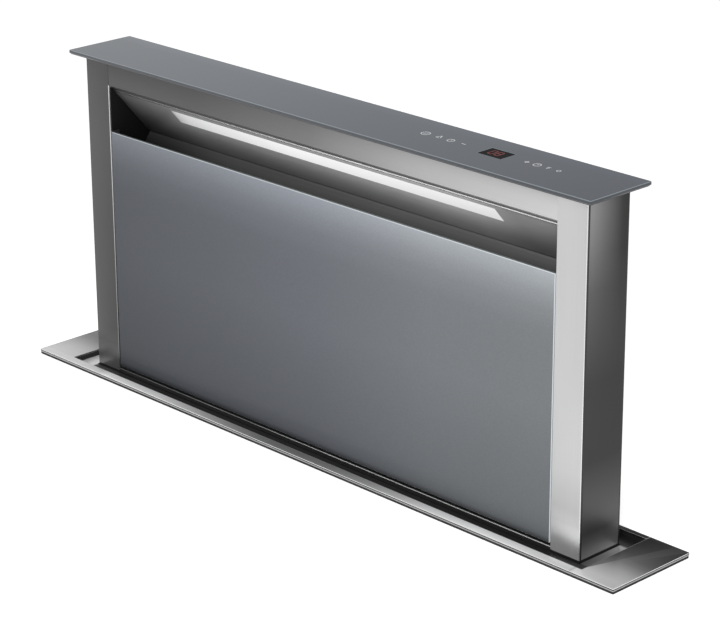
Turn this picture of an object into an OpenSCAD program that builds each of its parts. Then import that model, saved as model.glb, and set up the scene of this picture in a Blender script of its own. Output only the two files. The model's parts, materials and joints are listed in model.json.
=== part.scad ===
// Rising downdraft vent: a glass-capped tower that lifts out of a worktop flange.
// Lengths are millimetres. X runs along the front, Y points to the wall, Z points up.
// The origin is the middle of the footprint, on the floor under the feet.
// Inside the modules, y = 0 is the front face of the tower and z = 0 the top of the flange.

/* [Worktop flange] */
// Width of the flange, the size class of the vent
flange_w = 900; // [800:10:1200]
// Thickness of the steel face plate of the flange
flange_t = 2; // [1.5:0.1:3]
// Width of the face plate at each end
rim_end_w = 50.5; // [44:0.5:60]
// Width of the face plate along the front
rim_front_w = 11.5; // [10:0.5:20]
// Width of the face plate along the back
rim_back_w = 6; // [5:0.5:12]
// Radius of the corners of the flange
flange_corner_r = 1; // [1:0.5:6]
// Depth of the recess that the cap drops into
recess_depth = 8; // [6.5:0.5:14]
// Sheet thickness of the recess tray
tray_t = 1.2; // [0.8:0.1:1.5]
// Thickness of the tray rim that backs the flange plate
tray_rim_t = 1.5; // [1:0.1:2]
// Thickness of the foam gasket under the flange
gasket_t = 2.5; // [1:0.1:4]

/* [Tower] */
// Depth of the tower, front to back
tower_d = 60; // [58:0.5:70]
// Height of the underside of the cap above the flange when raised
tower_rise = 369.5; // [340:0.5:400]
// Length of tower that stays under the worktop when raised
hidden_l = 110; // [100:1:150]
// Width of each upright as seen from the front
upright_w = 38.5; // [34:0.5:46]
// Height of the bar above the intake
crossbar_h = 29.5; // [24:0.5:36]
// Height of the intake slot, from the glass to the bar
slot_h = 54.3; // [50:0.1:60]
// Sheet thickness of the uprights and bars
sheet_t = 1.5; // [1:0.1:2]
// Sheet thickness of inner plates and of the casing panels
panel_t = 1.2; // [0.8:0.1:1.4]

/* [Cap] */
// How far the cap reaches past the tower at each end
cap_end = 14; // [10:0.5:18]
// How far the cap reaches in front of the tower
cap_front = 13.5; // [12:0.5:16]
// How far the cap reaches behind the tower
cap_back = 15; // [12:0.5:18]
// Gap round the front and the ends of the lowered cap
cap_gap = 7.5; // [6:0.5:10]
// Gap behind the lowered cap
cap_back_gap = 2.5; // [2:0.5:5]
// Thickness of the cap glass
cap_glass_t = 4; // [3:0.5:5]
// Thickness of the steel plate that carries the cap glass
cap_carrier_t = 1; // [0.8:0.1:1.4]
// Radius of the corners of the cap
cap_corner_r = 1; // [1:0.5:5]

/* [Controls] */
// Distance from the right side of the tower to the middle of the display
display_inset = 152.5; // [151:0.5:180]
// Width of the display
display_w = 31; // [26:1:36]
// Depth of the display
display_d = 22; // [18:1:26]
// Depth of the touch board
touch_board_d = 30; // [26:1:34]

/* [Front glass] */
// Thickness of the front glass
glass_t = 4; // [3:0.5:5]
// Gap between the front glass and each upright
glass_gap = 1.5; // [1:0.1:2.5]
// Gap between the front glass and the plate below it
sill_gap = 3; // [2.8:0.1:5]
// Depth of the folded tray that carries the glass
glass_tray_d = 8; // [6:0.5:9]
// Radius of the pins that the glass tilts on
hinge_pin_r = 2; // [1.5:0.1:2.5]

/* [Light] */
// Length of the light strip
led_l = 492; // [400:1:600]
// Width of the light strip
led_w = 21.5; // [14:0.5:26]

/* [Grease filters] */
// Thickness of a grease filter
filter_t = 10; // [8:0.5:11]
// Width of the frame round a filter
filter_rim = 10; // [8:0.5:14]
// Number of baffle bars in one filter
filter_bars = 15; // [8:1:20]
// Free depth between the front glass tray and the filters
filter_gap = 10; // [8:0.5:11]

/* [Lift] */
// Radius of the toothed pulleys
pulley_r = 13; // [12:0.5:14]
// Width of the pulleys over their flanges
pulley_w = 10; // [9:0.5:12]
// Number of teeth on a pulley
pulley_teeth = 20; // [12:1:24]
// Thickness of the lift belts
belt_t = 2; // [1.5:0.1:2.2]
// Radius of the cross shaft
shaft_r = 5; // [4:0.5:6]
// Depth of the guide rails off the casing sides
rail_depth = 11.5; // [10:0.5:14]
// Width of the guide rails
rail_w = 28; // [24:1:30]
// Height of the room for the drive under the lowered tower
drive_bay = 135.5; // [130:0.5:180]
// Radius of the lift motor
lift_motor_r = 19; // [16:0.5:21]
// Length of the lift motor
lift_motor_l = 115; // [90:1:140]

/* [Casing] */
// Free depth in front of the tower inside the casing
casing_front_gap = 17; // [15:0.5:19]
// Free depth behind the tower inside the casing
casing_back_gap = 13; // [12:0.5:15]
// Height of the levelling feet
foot_h = 20; // [16:1:30]
// Radius of the pad of a foot
foot_r = 18; // [14:1:22]

/* [Blower] */
// Width of the blower box
blower_w = 330; // [326:1:360]
// Depth of the blower box
blower_d = 190; // [186:1:220]
// Room under the scroll in the blower box
scroll_room = 13; // [8:1:30]
// Radius of the impeller
impeller_r = 95; // [85:1:96]
// Width of the impeller
impeller_w = 75; // [60:1:78]
// Number of impeller blades
blade_count = 28; // [16:1:36]
// Radius of the blower inlet
inlet_r = 80; // [60:1:82]
// Outer radius of the duct spigot
spigot_r = 75; // [62.5:0.5:75]
// Length of the duct spigot
spigot_l = 82; // [80:1:110]

/* [Hidden] */
$fn = 48;

// How far a cut runs past the face it opens
overrun = 1;
// Gap between parts that slide or turn past each other
running_gap = 0.3;
// Radial gap of a pin or shaft in its bore
fit_gap = 0.05;
// Gap of the glide shoes in their rails
glide_gap = 0.4;
// Gap between the tower and the hole in the recess tray
tower_gap = 1.5;
// Gap between neighbouring removable parts
part_gap = 0.5;
// Gap between the side parts of the lift
side_gap = 0.75;

// Widths and depths that follow from the size class and the tower
opening_w = flange_w - 2 * rim_end_w;
cap_w = opening_w - 2 * cap_gap;
tower_w = cap_w - 2 * cap_end;
cap_d = cap_front + tower_d + cap_back;
opening_front = cap_front + cap_gap;
opening_d = cap_d + cap_gap + cap_back_gap;
flange_front = opening_front + rim_front_w;
flange_d = opening_d + rim_front_w + rim_back_w;

// Heights of the tower
cap_t = cap_glass_t + cap_carrier_t;
travel = tower_rise + cap_t;
slot_top = tower_rise - crossbar_h;
glass_top = slot_top - slot_h;
bay_w = tower_w - 2 * upright_w;
glass_w = bay_w - 2 * glass_gap;
tower_half = tower_w / 2;

// Flange and recess
flange_y0 = -flange_front;
flange_y1 = flange_d - flange_front;
opening_y0 = -opening_front;
opening_y1 = opening_d - opening_front;
seat_z = -(flange_t + tray_rim_t + gasket_t);
tray_floor_z = -recess_depth;
casing_top_z = tray_floor_z - tray_t;
rim_inset = 0.3;
gasket_inset = 0.5;
wiper_w = 8;
wiper_h = 6;

// Casing
bracket_t = 3;
side_bay = bracket_t + 2 * side_gap + pulley_w + rail_depth;
casing_half = tower_half + side_bay;
casing_y0 = -casing_front_gap;
casing_y1 = tower_d + casing_back_gap;
casing_z0 = -(hidden_l + travel + drive_bay);
pulley_x = tower_half + bracket_t + side_gap;
rail_x = casing_half - rail_depth;
fixing_r = 2.75;
fixing_inset = 54;
fixing_w = 2 * (casing_half - fixing_inset);
fixing_h = 300;
fixing_z = casing_z0 + foot_h + drive_bay / 4;

// Lift
belt_setback = 8;
pulley_flange_t = 1;
belt_y = tower_d - belt_setback;
belt_in_r = pulley_r + running_gap;
belt_out_r = belt_in_r + belt_t;
pulley_flange_r = belt_out_r + part_gap;
tooth_r = 1.2;
idler_z = -45;
drive_z = casing_z0 + drive_bay / 3;
bearing_r = 12;
gearbox_w = 30;
gearbox_inset = 159;
gearbox_x = casing_half - gearbox_inset - gearbox_w;
gearbox_r = 20;
lift_motor_y = casing_y0 + lift_motor_r + 2 * panel_t;
rail_setback = 4;
rail_y = tower_d / 2 - rail_setback;
rail_t = 1.5;
rail_slot_w = rail_w / 2;
rail_spare = 15;
rail_drop = 5;
rail_z0 = -(hidden_l + travel + rail_spare);
rail_z1 = casing_top_z - wiper_h - rail_drop;
shoe_h = 28;
stem_r = 5;
jaw_t = 3.4;
jaw_h = 20;
bracket_rise = 4;
bracket_z0 = bracket_rise - hidden_l;
bracket_z1 = -28;
shoe_inset = 2;
shoe_high_z = bracket_z1 - shoe_h / 2 - shoe_inset;
shoe_low_z = bracket_z0 + shoe_h / 2 + shoe_inset;
jaw_z = bracket_z0 + 1.2 * jaw_h;

// Blower, about its own axis
wall_t = 1.5;
inlet_l = 22;
inlet_flare = 15;
window_r = inlet_r + inlet_flare;
scroll_gap = 6;
scroll_r0 = impeller_r + scroll_gap;
scroll_grow = 52;
scroll_turn = 305;
cut_off_a = 35;
outlet_x = 120;
scroll_top = scroll_r0 + scroll_grow;
scroll_deep = scroll_r(cut_off_a + 90);
scroll_low = scroll_r0 * sin(cut_off_a) + wall_t;
impeller_plate_t = 3;
impeller_gap = 5;
blower_y1 = casing_y0 - panel_t;
blower_y0 = blower_y1 - blower_d;
blower_z0 = casing_z0 - panel_t;
axis_z = blower_z0 + panel_t + scroll_room + wall_t + scroll_deep;
blower_z1 = axis_z + scroll_top + 2.5 * wall_t + panel_t;
scroll_y1 = blower_y1 - panel_t - inlet_l;
scroll_y0 = scroll_y1 - impeller_w - 2 * wall_t - 2.4 * impeller_gap;
impeller_y1 = scroll_y1 - wall_t - impeller_gap;
impeller_y0 = impeller_y1 - impeller_w;
axle_r = 4;
motor_r = 45;
motor_l = 55;
hub_r = 14;
hub_l = 33;
blade_w = 17;
blade_chord = 18;
blade_t = 1.2;
blade_a = 25;
spigot_wall = panel_t;
spigot_y = (blower_y0 + blower_y1) / 2;
spigot_z = blower_z1 - spigot_r - 4 * panel_t;
spigot_x0 = blower_w / 2;
spigot_x1 = spigot_x0 + spigot_l;
damper_inset = 9;
damper_x = spigot_x0 + damper_inset;
damper_r = 2;
damper_seat_w = 3.8;
flap_t = 1;
flap_back = 2.2;
flap_gap = 1;
knuckle_r = 3.5;
knuckle_z = 20;
screw_r = 2;
screw_head_r = 4;
screw_head_h = 2;
screw_l = 6;
screw_inset = 8;

// Light, throat and filters behind the front glass
ceiling_a = 49.5;
ceiling_y0 = 2.6;
ceiling_z0 = slot_top - 1.3 * panel_t;
ceiling_y1 = tower_d - 2.5 * panel_t;
ceiling_z1 = ceiling_z0 - (ceiling_y1 - ceiling_y0) * tan(ceiling_a);
ceiling_l = (ceiling_y1 - ceiling_y0) / cos(ceiling_a);
led_start = 15;
lip_start = 5;
throat_a = 36;
filter_y0 = glass_t + glass_tray_d + filter_gap;
filter_y1 = filter_y0 + filter_t;
throat_low_z = ceiling_z1 - (ceiling_y1 - filter_y0) / tan(throat_a);
ledge_rise = 15;
ledge_z = ledge_rise - sill_gap;
filter_count = 3;
liner_w = bay_w - 2 * panel_t;
filter_w = liner_w / filter_count - part_gap;
bar_share = 0.6;
grip_w = 60;
grip_t = 6;

// Front glass carrier and its hinge
tray_inset = 4;
tray_sheet_t = 1;
hinge_y = glass_t + glass_tray_d / 2;
hinge_z = tray_inset + tray_sheet_t + 1.5 * hinge_pin_r + part_gap;

// Controls and cap
carrier_inset = 1.2;
board_t = 1.6;
display_y = 36;
display_x = tower_half - display_inset;
board_end_gap = 1.5;
touch_board_w = 2 * (display_inset - upright_w - board_end_gap);
board_x0 = display_x - touch_board_w / 2;
board_y0 = display_y - touch_board_d / 2;

// Control box, clamps and feet
control_inset = 19;
control_w = 170;
control_h = 170;
control_d = 45;
control_z1 = -80;
gland_r = 9;
gland_l = 16;
lead_r = 4.2;
worktop_t = 38;
clamp_reach = 36;
clamp_w = 40;
clamp_t = 2;
clamp_leg = 50;
jack_r = 3;
jack_pad_r = 9;
jack_pad_t = 3;
pad_t = 5;
stud_r = 4;
clamp_drop = 14;
clamp_x0 = casing_half + panel_t;
clamp_x1 = clamp_x0 + clamp_reach;
clamp_y0 = (tower_d - clamp_w) / 2;
clamp_z1 = seat_z - worktop_t - clamp_drop;
jack_x = clamp_x1 - clamp_reach / 3;
jack_y = tower_d / 2;
control_x1 = casing_half - control_inset;
control_x0 = control_x1 - control_w;
control_z0 = control_z1 - control_h;
control_y0 = blower_y1 - control_d;
gland_x = (control_x0 + control_x1) / 2;
gland_y = (control_y0 + blower_y1) / 2;

// Place in the row frame
reach_front = panel_t + screw_head_h - blower_y0;
origin_y = (reach_front - flange_y1) / 2;
origin_z = foot_h - blower_z0;

// Helpers: every piece is drawn about the tower's front face and the flange's top

// Moves a piece from the flange's frame to the row frame
module at_top() {
  translate([0, origin_y, origin_z]) children();
}

// A block between two corners
module span(x0, x1, y0, y1, z0, z1) {
  translate([x0, y0, z0]) cube([x1 - x0, y1 - y0, z1 - z0]);
}

// A block centred on the middle of the vent
module wide(w, y0, y1, z0, z1) {
  span(-w / 2, w / 2, y0, y1, z0, z1);
}

// A piece and its mirror image on the left
module both_sides() {
  children();
  mirror([1, 0, 0]) children();
}

// An outline in Y and Z, drawn out along X
module along_x(x0, x1) {
  translate([x0, 0, 0]) rotate([90, 0, 90]) linear_extrude(x1 - x0) children();
}

// An outline in X and Z, drawn out along Y
module along_y(y0, y1) {
  translate([0, y1, 0]) rotate([90, 0, 0]) linear_extrude(y1 - y0) children();
}

module rod_x(r, x0, x1, y, z) {
  translate([x0, y, z]) rotate([0, 90, 0]) cylinder(r = r, h = x1 - x0);
}

module rod_y(r, x, y0, y1, z) {
  translate([x, y1, z]) rotate([90, 0, 0]) cylinder(r = r, h = y1 - y0);
}

module rod_z(r, x, y, z0, z1) {
  translate([x, y, z0]) cylinder(r = r, h = z1 - z0);
}

// A plate with rounded corners, centred on the middle of the vent
module round_plate(w, y0, y1, z0, z1, r) {
  translate([0, 0, z0]) linear_extrude(z1 - z0) {
    translate([-w / 2 + r, y0]) square([w - 2 * r, y1 - y0]);
    translate([-w / 2, y0 + r]) square([w, y1 - y0 - 2 * r]);
    for (x = [-w / 2 + r, w / 2 - r], y = [y0 + r, y1 - r]) translate([x, y]) circle(r);
  }
}

// A sheet that slants from one point to another in Y and Z, thick towards its right-hand side
module slanted_sheet(w, from, to, t) {
  run = norm(to - from);
  side = [(to - from)[1], -(to - from)[0]] * t / run;
  along_x(-w / 2, w / 2) polygon([from, to, to + side, from + side]);
}

// Worktop flange, recess and seals

module flange_plate() {
  color("silver") at_top() difference() {
    round_plate(flange_w, flange_y0, flange_y1, -flange_t, 0, flange_corner_r);
    wide(opening_w, opening_y0, opening_y1, -flange_t - overrun, overrun);
  }
}

module recess_tray() {
  color("lightgray") at_top() difference() {
    union() {
      round_plate(flange_w - 2 * rim_inset, flange_y0 + rim_inset, flange_y1 - rim_inset,
                  -flange_t - tray_rim_t, -flange_t, flange_corner_r);
      wide(opening_w + 2 * tray_t, opening_y0 - tray_t, opening_y1 + tray_t, casing_top_z, -flange_t);
    }
    wide(opening_w, opening_y0, opening_y1, tray_floor_z, overrun);
    wide(tower_w + 2 * tower_gap, -tower_gap, tower_d + tower_gap, casing_top_z - overrun, overrun);
  }
}

module flange_gasket() {
  color([0.1, 0.1, 0.1]) at_top() difference() {
    round_plate(flange_w - 2 * gasket_inset, flange_y0 + gasket_inset, flange_y1 - gasket_inset,
                seat_z, seat_z + gasket_t, flange_corner_r);
    wide(opening_w + 2 * tray_t + 2 * part_gap, opening_y0 - tray_t - part_gap,
         opening_y1 + tray_t + part_gap, seat_z - overrun, 0);
  }
}

module wiper_seal() {
  color([0.12, 0.12, 0.12]) at_top() difference() {
    wide(tower_w + 2 * wiper_w, -wiper_w, tower_d + wiper_w, casing_top_z - wiper_h, casing_top_z);
    wide(tower_w + 2 * glide_gap, -glide_gap, tower_d + glide_gap, casing_top_z - wiper_h - overrun, overrun);
  }
}

// Casing under the worktop

module housing_front() {
  color("gainsboro") at_top() difference() {
    wide(2 * casing_half + 2 * panel_t, casing_y0 - panel_t, casing_y0, casing_z0, casing_top_z);
    rod_y(window_r, 0, casing_y0 - panel_t - overrun, casing_y0 + overrun, axis_z);
  }
}

module housing_back() {
  color("gainsboro") at_top() difference() {
    wide(2 * casing_half + 2 * panel_t, casing_y1, casing_y1 + panel_t, casing_z0, casing_top_z);
    for (x = [-fixing_w / 2, fixing_w / 2], z = [fixing_z, fixing_z + fixing_h])
      rod_y(fixing_r, x, casing_y1 - overrun, casing_y1 + panel_t + overrun, z);
  }
}

// Both sides and the floor, folded from one sheet
module housing_shell() {
  color("gainsboro") at_top() {
    both_sides() span(casing_half, casing_half + panel_t, casing_y0, casing_y1, casing_z0, casing_top_z);
    wide(2 * casing_half + 2 * panel_t, casing_y0 - panel_t, casing_y1 + panel_t,
         casing_z0 - panel_t, casing_z0);
  }
}

// One foot: a pad on the cabinet floor and the stud that carries the casing
module foot(x, y) {
  rod_z(foot_r, x, y, blower_z0 - foot_h, blower_z0 - foot_h + pad_t);
  rod_z(stud_r, x, y, blower_z0 - foot_h, blower_z0);
}

module levelling_feet() {
  color([0.15, 0.15, 0.15]) at_top() both_sides() {
    foot(casing_half - 2 * foot_r, casing_y0 + foot_r);
    foot(casing_half - 2 * foot_r, casing_y1 - foot_r);
    foot(blower_w / 2 - 2 * foot_r, blower_y0 + 2 * foot_r);
  }
}

// Brackets on the casing sides; their screws press up against the worktop
module worktop_clamps() {
  color("darkgray") at_top() both_sides() difference() {
    union() {
      span(clamp_x0, clamp_x0 + clamp_t, clamp_y0, clamp_y0 + clamp_w, clamp_z1 - clamp_leg, clamp_z1);
      span(clamp_x0, clamp_x1, clamp_y0, clamp_y0 + clamp_w, clamp_z1 - clamp_t, clamp_z1);
    }
    rod_z(jack_r + fit_gap, jack_x, jack_y, clamp_z1 - clamp_t - overrun, clamp_z1 + overrun);
  }
}

module clamp_screws() {
  head_z = clamp_z1 - clamp_leg / 2;
  color("silver") at_top() both_sides() {
    rod_z(jack_r, jack_x, jack_y, head_z, seat_z - worktop_t);
    rod_z(jack_pad_r, jack_x, jack_y, seat_z - worktop_t - jack_pad_t, seat_z - worktop_t);
    translate([jack_x, jack_y, head_z - 2 * clamp_t]) cylinder(r = 2 * jack_r, h = 2 * clamp_t, $fn = 6);
  }
}

// Lift

module guide_rails() {
  color("lightsteelblue") at_top() both_sides() difference() {
    span(rail_x, casing_half, rail_y - rail_w / 2, rail_y + rail_w / 2, rail_z0, rail_z1);
    span(rail_x + rail_t, casing_half - rail_t, rail_y - rail_w / 2 + rail_t, rail_y + rail_w / 2 - rail_t,
         rail_z0 - overrun, rail_z1 + overrun);
    span(rail_x - overrun, rail_x + 2 * rail_t, rail_y - rail_slot_w / 2, rail_y + rail_slot_w / 2,
         rail_z0 - overrun, rail_z1 + overrun);
  }
}

module idler_axles() {
  color("dimgray") at_top() both_sides() {
    rod_x(2 * axle_r, rail_x, casing_half, belt_y, idler_z);
    rod_x(axle_r, pulley_x, casing_half, belt_y, idler_z);
  }
}

module shaft_bearings() {
  color("dimgray") at_top() both_sides() difference() {
    union() {
      rod_x(bearing_r, rail_x, casing_half, belt_y, drive_z);
      span(rail_x, casing_half, belt_y - bearing_r, belt_y + bearing_r, drive_z - bearing_r, drive_z);
    }
    rod_x(shaft_r + fit_gap, rail_x - overrun, casing_half + overrun, belt_y, drive_z);
  }
}

// The outline of a belt at a given radius round its two pulleys
module belt_loop(r) {
  translate([belt_y, idler_z]) circle(r);
  translate([belt_y, drive_z]) circle(r);
  translate([belt_y - r, drive_z]) square([2 * r, idler_z - drive_z]);
}

module lift_belts() {
  color([0.13, 0.13, 0.13]) at_top() both_sides()
    along_x(pulley_x + pulley_flange_t + running_gap, pulley_x + pulley_w - pulley_flange_t - running_gap)
    difference() {
      belt_loop(belt_out_r);
      belt_loop(belt_in_r);
    }
}

// A flanged, toothed pulley on the right side, at a given height
module pulley(z, bore_r) {
  x1 = pulley_x + pulley_w;
  difference() {
    union() {
      rod_x(pulley_r, pulley_x, x1, belt_y, z);
      rod_x(pulley_flange_r, pulley_x, pulley_x + pulley_flange_t, belt_y, z);
      rod_x(pulley_flange_r, x1 - pulley_flange_t, x1, belt_y, z);
    }
    rod_x(bore_r, pulley_x - overrun, x1 + overrun, belt_y, z);
    for (i = [0 : pulley_teeth - 1]) {
      a = 360 * i / pulley_teeth;
      rod_x(tooth_r, pulley_x + pulley_flange_t, x1 - pulley_flange_t,
            belt_y + pulley_r * cos(a), z + pulley_r * sin(a));
    }
  }
}

module drive_pulleys() {
  color("gray") at_top() both_sides() pulley(drive_z, shaft_r);
}

module idler_left() {
  color("gray") at_top() mirror([1, 0, 0]) pulley(idler_z, axle_r + fit_gap);
}

module idler_right() {
  color("gray") at_top() pulley(idler_z, axle_r + fit_gap);
}

module drive_shaft() {
  color("silver") at_top() rod_x(shaft_r, -casing_half + part_gap, casing_half - part_gap, belt_y, drive_z);
}

module lift_gearbox() {
  color("darkgray") at_top() difference() {
    span(gearbox_x, gearbox_x + gearbox_w, casing_y0 + part_gap, belt_y + gearbox_r,
         casing_z0, drive_z + gearbox_r);
    rod_x(shaft_r + fit_gap, gearbox_x - overrun, gearbox_x + gearbox_w + overrun, belt_y, drive_z);
  }
}

module lift_motor() {
  color([0.2, 0.2, 0.22]) at_top() {
    rod_x(lift_motor_r, gearbox_x - lift_motor_l, gearbox_x, lift_motor_y, drive_z);
    rod_x(lift_motor_r / 2, gearbox_x - lift_motor_l - 4 * wall_t, gearbox_x - lift_motor_l,
          lift_motor_y, drive_z);
  }
}

// Blower

// Radius of the scroll at an angle past its cut-off
function scroll_r(a) = scroll_r0 + scroll_grow * a / scroll_turn;

// A point of the scroll, its wall a given distance outside the air
function scroll_point(a, out) =
  (scroll_r(a) + out) * [cos(cut_off_a - a), sin(cut_off_a - a)] + [0, axis_z];

module scroll_outline(out, first, end_x) {
  polygon(concat(
    [for (a = [first : 5 : scroll_turn - 1]) scroll_point(a, out)],
    [scroll_point(scroll_turn, out)],
    [[end_x, axis_z + scroll_top + out], [end_x, axis_z + scroll_low - out]]
  ));
}

module scroll_casing() {
  color("gainsboro") at_top() difference() {
    along_y(scroll_y0, scroll_y1) scroll_outline(wall_t, wall_t, outlet_x);
    along_y(scroll_y0 + wall_t, scroll_y1 - wall_t) scroll_outline(0, 0, outlet_x + overrun);
    rod_y(inlet_r, 0, scroll_y1 - 2 * wall_t, scroll_y1 + overrun, axis_z);
    rod_y(3 * axle_r, 0, scroll_y0 - overrun, scroll_y0 + 2 * wall_t, axis_z);
  }
}

module blower_box() {
  x1 = blower_w / 2;
  lip = 2 * screw_inset;
  color("gainsboro") at_top() difference() {
    span(-x1, x1, blower_y0, blower_y1, blower_z0, blower_z1);
    span(-x1 + panel_t, x1 - panel_t, blower_y0 + panel_t, blower_y1 - panel_t,
         blower_z0 + panel_t, blower_z1 - panel_t);
    span(-x1 + lip, x1 - lip, blower_y0 - overrun, blower_y0 + 2 * panel_t, blower_z0 + lip, blower_z1 - lip);
    rod_y(window_r, 0, blower_y1 - 2 * panel_t, blower_y1 + overrun, axis_z);
    rod_x(spigot_r - spigot_wall, x1 - 2 * panel_t, x1 + overrun, spigot_y, spigot_z);
    at_cover_screws() rod_y(screw_r + fit_gap, 0, -overrun, screw_l + overrun, 0);
  }
}

// The places of the screws that hold the blower cover, their heads on its face
module at_cover_screws() {
  for (x = [-1, 0, 1], z = [0, 1]) translate([
    x * (blower_w / 2 - screw_inset),
    blower_y0 - panel_t,
    z == 0 ? blower_z0 + screw_inset : blower_z1 - screw_inset
  ]) children();
}

module blower_cover() {
  color("gainsboro") at_top() difference() {
    wide(blower_w, blower_y0 - panel_t, blower_y0, blower_z0, blower_z1);
    at_cover_screws() rod_y(screw_r + fit_gap, 0, -overrun, screw_l, 0);
  }
}

module cover_screws() {
  color("silver") at_top() at_cover_screws() {
    rod_y(screw_head_r, 0, -screw_head_h, 0, 0);
    rod_y(screw_r, 0, -screw_head_h, screw_l, 0);
  }
}

module inlet_ring() {
  color("lightgray") at_top() translate([0, scroll_y1, axis_z]) rotate([-90, 0, 0]) rotate_extrude($fn = 96)
    polygon([
      [inlet_r, 0], [inlet_r + 3 * wall_t, 0], [inlet_r + 3 * wall_t, wall_t],
      [inlet_r + 2 * wall_t, wall_t], [window_r + wall_t, inlet_l - wall_t],
      [window_r + 5 * wall_t, inlet_l - wall_t], [window_r + 5 * wall_t, inlet_l],
      [window_r, inlet_l], [inlet_r, wall_t]
    ]);
}

module blower_motor() {
  color([0.25, 0.25, 0.27]) at_top() {
    rod_y(motor_r, 0, scroll_y0 - motor_l, scroll_y0, axis_z);
    rod_y(motor_r / 3, 0, scroll_y0 - motor_l - 3 * wall_t, scroll_y0 - motor_l, axis_z);
    rod_y(axle_r, 0, scroll_y0 - wall_t, impeller_y0 + hub_l, axis_z);
  }
}

module impeller() {
  blade_l = impeller_w - 2 * part_gap;
  color([0.16, 0.16, 0.17]) at_top() difference() {
    union() {
      rod_y(impeller_r, 0, impeller_y0, impeller_y0 + impeller_plate_t, axis_z);
      rod_y(hub_r, 0, impeller_y0, impeller_y0 + hub_l, axis_z);
      difference() {
        rod_y(impeller_r, 0, impeller_y1 - impeller_plate_t, impeller_y1, axis_z);
        rod_y(impeller_r - blade_w, 0, impeller_y1 - impeller_plate_t - overrun, impeller_y1 + overrun,
              axis_z);
      }
      for (i = [0 : blade_count - 1])
        translate([0, impeller_y0 + part_gap, axis_z]) rotate([0, 360 * i / blade_count, 0])
          translate([impeller_r - blade_w / 2, 0, 0]) rotate([0, blade_a, 0])
          translate([-blade_chord / 2, 0, -blade_t / 2]) cube([blade_chord, blade_l, blade_t]);
    }
    rod_y(axle_r + fit_gap, 0, impeller_y0 - overrun, impeller_y0 + hub_l + overrun, axis_z);
  }
}

// The outlet of the scroll as a thin slab, its walls a given distance outside the air
module scroll_mouth(out) {
  span(outlet_x - (out > 0 ? 0 : overrun), outlet_x + part_gap,
       scroll_y0 + wall_t - out, scroll_y1 - wall_t + out,
       axis_z + scroll_low - out, axis_z + scroll_top + out);
}

// The way into the spigot as a thin slab
module spigot_mouth(out) {
  x1 = blower_w / 2 - panel_t;
  rod_x(spigot_r - spigot_wall + out, x1 - part_gap, x1 + (out > 0 ? 0 : overrun),
        spigot_y, spigot_z, $fn = 32);
}

module outlet_adapter() {
  color("lightgray") at_top() difference() {
    hull() {
      scroll_mouth(wall_t);
      spigot_mouth(wall_t);
    }
    hull() {
      scroll_mouth(0);
      spigot_mouth(0);
    }
  }
}

module outlet_spigot() {
  color("silver") at_top() difference() {
    union() {
      rod_x(spigot_r, spigot_x0, spigot_x1, spigot_y, spigot_z);
      rod_x(spigot_r + 5 * wall_t, spigot_x0, spigot_x0 + wall_t, spigot_y, spigot_z);
    }
    rod_x(spigot_r - spigot_wall, damper_x - knuckle_r - part_gap, spigot_x1 + overrun, spigot_y, spigot_z);
    rod_x(spigot_r - spigot_wall - damper_seat_w, spigot_x0 - overrun, spigot_x1, spigot_y, spigot_z);
    rod_z(damper_r + fit_gap, damper_x, spigot_y,
          spigot_z - spigot_r - overrun, spigot_z + spigot_r + overrun);
  }
}

module damper_pin() {
  reach = spigot_r - 2 * fit_gap;
  color("dimgray") at_top() rod_z(damper_r, damper_x, spigot_y, spigot_z - reach, spigot_z + reach);
}

// A half disc on the damper pin; its knuckles lie outside or inside the knuckle height
module damper_flap(outer) {
  r = spigot_r - spigot_wall - flap_gap;
  knuckle_end = 3 * knuckle_z;
  difference() {
    union() {
      intersection() {
        rod_x(r, damper_x - flap_back - flap_t, damper_x - flap_back, 0, 0);
        span(0, spigot_x1, -r - overrun, 0, -r - overrun, r + overrun);
      }
      if (outer) for (z = [-knuckle_end, knuckle_z + part_gap])
        rod_z(knuckle_r, damper_x, 0, z, z + knuckle_end - knuckle_z - part_gap);
      else rod_z(knuckle_r, damper_x, 0, -knuckle_z + part_gap, knuckle_z - part_gap);
    }
    rod_z(damper_r + fit_gap, damper_x, 0, -spigot_r, spigot_r);
    clear = outer
      ? [[-spigot_r, -knuckle_end], [-knuckle_z - part_gap, knuckle_z + part_gap], [knuckle_end, spigot_r]]
      : [[-spigot_r, part_gap - knuckle_z], [knuckle_z - part_gap, spigot_r]];
    for (z = clear) span(0, spigot_x1, -knuckle_r - overrun, overrun, z[0], z[1]);
  }
}

module damper_flap_front() {
  color("gray") at_top() translate([0, spigot_y, spigot_z]) damper_flap(true);
}

module damper_flap_rear() {
  color("gray") at_top() translate([0, spigot_y, spigot_z]) mirror([0, 1, 0]) damper_flap(false);
}

// Control box and its lead entry

module control_box() {
  color([0.18, 0.18, 0.19]) at_top() difference() {
    span(control_x0, control_x1, control_y0, blower_y1, control_z0, control_z1);
    span(control_x0 + 2 * wall_t, control_x1 - 2 * wall_t, control_y0 - overrun, blower_y1 - 2 * wall_t,
         control_z0 + 2 * wall_t, control_z1 - 2 * wall_t);
    rod_z(lead_r, gland_x, gland_y, control_z0 - overrun, control_z0 + 3 * wall_t);
  }
}

module control_lid() {
  color([0.22, 0.22, 0.23]) at_top()
    span(control_x0, control_x1, control_y0 - 2 * wall_t, control_y0, control_z0, control_z1);
}

module cable_gland() {
  color([0.1, 0.1, 0.1]) at_top() difference() {
    union() {
      translate([gland_x, gland_y, control_z0 - gland_l / 3])
        cylinder(r = gland_r * 1.2, h = gland_l / 3, $fn = 6);
      rod_z(gland_r, gland_x, gland_y, control_z0 - gland_l, control_z0 - gland_l / 3);
    }
    rod_z(lead_r, gland_x, gland_y, control_z0 - gland_l - overrun, control_z0 + overrun);
  }
}

// Tower frame

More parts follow.
